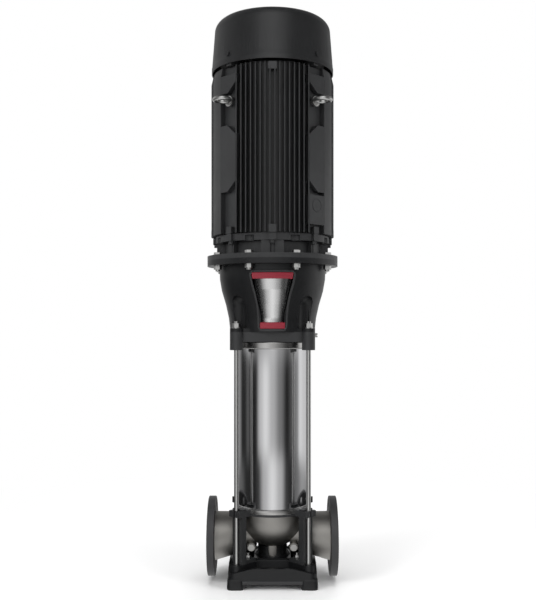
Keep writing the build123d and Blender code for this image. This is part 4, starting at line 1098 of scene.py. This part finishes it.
def studio_cards():
    """Pale and dark cards on a shell that only gloss and metal show."""
    cards = new_object("studio_cards", *card_shell())
    mat = bpy.data.materials.new("studio_cards")
    mat.use_nodes = True
    tree = mat.node_tree
    tree.nodes.clear()
    coords = tree.nodes.new("ShaderNodeTexCoord")
    split = tree.nodes.new("ShaderNodeSeparateXYZ")
    tree.links.new(coords.outputs["Object"], split.inputs["Vector"])
    turn = maths(tree, "ARCTAN2", split.outputs["X"], maths(tree, "MULTIPLY", split.outputs["Y"], -1.0))
    share = maths(tree, "MULTIPLY_ADD", turn, 1 / (2 * pi), 0.5)
    half = 0.5 / CARD_RADIUS
    height = maths(tree, "MULTIPLY_ADD", split.outputs["Z"], half, 0.5 - CARD_CENTRE * half)
    tone = band_ramp(tree, share, LEVEL_BANDS)
    for bands, stops in CARD_SETS:
        tone = mixed(tree, stops_ramp(tree, height, stops), tone, band_ramp(tree, share, bands))
    tone = mixed(tree, 1.0, tone, stops_ramp(tree, height, OVERHEAD_FADE), "MULTIPLY")
    glow = tree.nodes.new("ShaderNodeEmission")
    tree.links.new(tone, glow.inputs["Color"])
    out = tree.nodes.new("ShaderNodeOutputMaterial")
    tree.links.new(glow.outputs[0], out.inputs["Surface"])
    cards.data.materials.append(mat)
    cards.visible_camera = False
    cards.visible_diffuse = False
    cards.visible_transmission = False
    cards.visible_volume_scatter = False
    cards.visible_shadow = False


def studio_floor():
    """A pale floor that keeps its shadow near the pump and turns into the white surroundings farther away."""
    corners = FLOOR_HALF * np.array([(-1, -1, 0), (1, -1, 0), (1, 1, 0), (-1, 1, 0)])
    floor = new_object("studio_floor", corners, [(0, 1, 2, 3)])
    mat, shader = principled("studio_floor", specular=0.2)
    tree = mat.node_tree
    shader.inputs["Roughness"].default_value = 0.6
    shader.inputs["Base Color"].default_value = (0.88, 0.88, 0.88, 1)
    coords = tree.nodes.new("ShaderNodeTexCoord")
    distance = tree.nodes.new("ShaderNodeVectorMath")
    distance.operation = "LENGTH"
    tree.links.new(coords.outputs["Object"], distance.inputs[0])
    far = maths(tree, "MULTIPLY", distance.outputs["Value"], 1 / FLOOR_FADE_LENGTH)
    path = tree.nodes.new("ShaderNodeLightPath")
    share = maths(tree, "MULTIPLY", stops_ramp(tree, far, FLOOR_FADE, "EASE"), path.outputs["Is Camera Ray"])
    white = tree.nodes.new("ShaderNodeEmission")
    white.inputs["Color"].default_value = (1, 1, 1, 1)
    surface = mixed_shader(tree, share, shader.outputs["BSDF"], white.outputs[0])
    tree.links.new(surface, tree.nodes["Material Output"].inputs["Surface"])
    floor.data.materials.append(mat)
    floor.visible_glossy = False


def softbox(name, place, target, width, height, power):
    """A soft area lamp aimed at a point."""
    data = bpy.data.lights.new(name, "AREA")
    data.shape = "RECTANGLE"
    data.size = width
    data.size_y = height
    data.energy = power
    lamp = bpy.data.objects.new(name, data)
    lamp.location = place
    lamp.rotation_euler = (Vector(target) - Vector(place)).to_track_quat("-Z", "Y").to_euler()
    lamp.visible_glossy = False
    bpy.context.scene.collection.objects.link(lamp)


class PUMP_OT_stage(bpy.types.Operator):
    """Set up the floor, the surroundings, the lamps and the camera"""

    bl_idname = "pump.stage"
    bl_label = "Stage"

    def execute(self, context):
        sizes, _ = settings()
        scene = context.scene
        studio_floor()
        studio_world()
        studio_cards()
        for lamp in LAMPS:
            softbox(*lamp)
        view = bpy.data.cameras.new("camera")
        view.sensor_width = 36
        view.lens = LENS
        view.shift_x, view.shift_y = VIEW_SHIFT
        camera = bpy.data.objects.new("camera", view)
        camera.location = (0, -sizes.view_distance, sizes.view_height)
        camera.rotation_euler = (radians(90), 0, 0)
        scene.collection.objects.link(camera)
        scene.camera = camera
        scene.view_settings.view_transform = "Standard"
        return {"FINISHED"}


class PUMP_PT_sidebar(bpy.types.Panel):
    """The list of the pump's operators, sizes and colours"""

    bl_label = "Pump"
    bl_idname = "PUMP_PT_sidebar"
    bl_space_type = "VIEW_3D"
    bl_region_type = "UI"
    bl_category = "Pump"

    def draw(self, context):
        layout = self.layout
        for group in (context.scene.pump_sizes, context.scene.pump_colours):
            column = layout.column()
            for name in group.__annotations__:
                column.prop(group, name)
        for operator in OPERATORS:
            layout.operator(operator.bl_idname)


OPERATORS = (PUMP_OT_finishes, PUMP_OT_sleeve, PUMP_OT_castings, PUMP_OT_motor, PUMP_OT_stool, PUMP_OT_guard,
             PUMP_OT_base, PUMP_OT_stage)
CLASSES = (PumpColours, PumpSizes, *OPERATORS, PUMP_PT_sidebar)


def register():
    """Add the settings, the operators and the panel."""
    for cls in CLASSES:
        bpy.utils.register_class(cls)
    bpy.types.Scene.pump_sizes = bpy.props.PointerProperty(type=PumpSizes)
    bpy.types.Scene.pump_colours = bpy.props.PointerProperty(type=PumpColours)


def unregister():
    """Take them away again."""
    del bpy.types.Scene.pump_colours
    del bpy.types.Scene.pump_sizes
    for cls in reversed(CLASSES):
        bpy.utils.unregister_class(cls)


def main():
    """Build everything in order."""
    register()
    for operator in OPERATORS:
        group, call = operator.bl_idname.split(".")
        getattr(getattr(bpy.ops, group), call)()


if __name__ == "__main__":
    main()
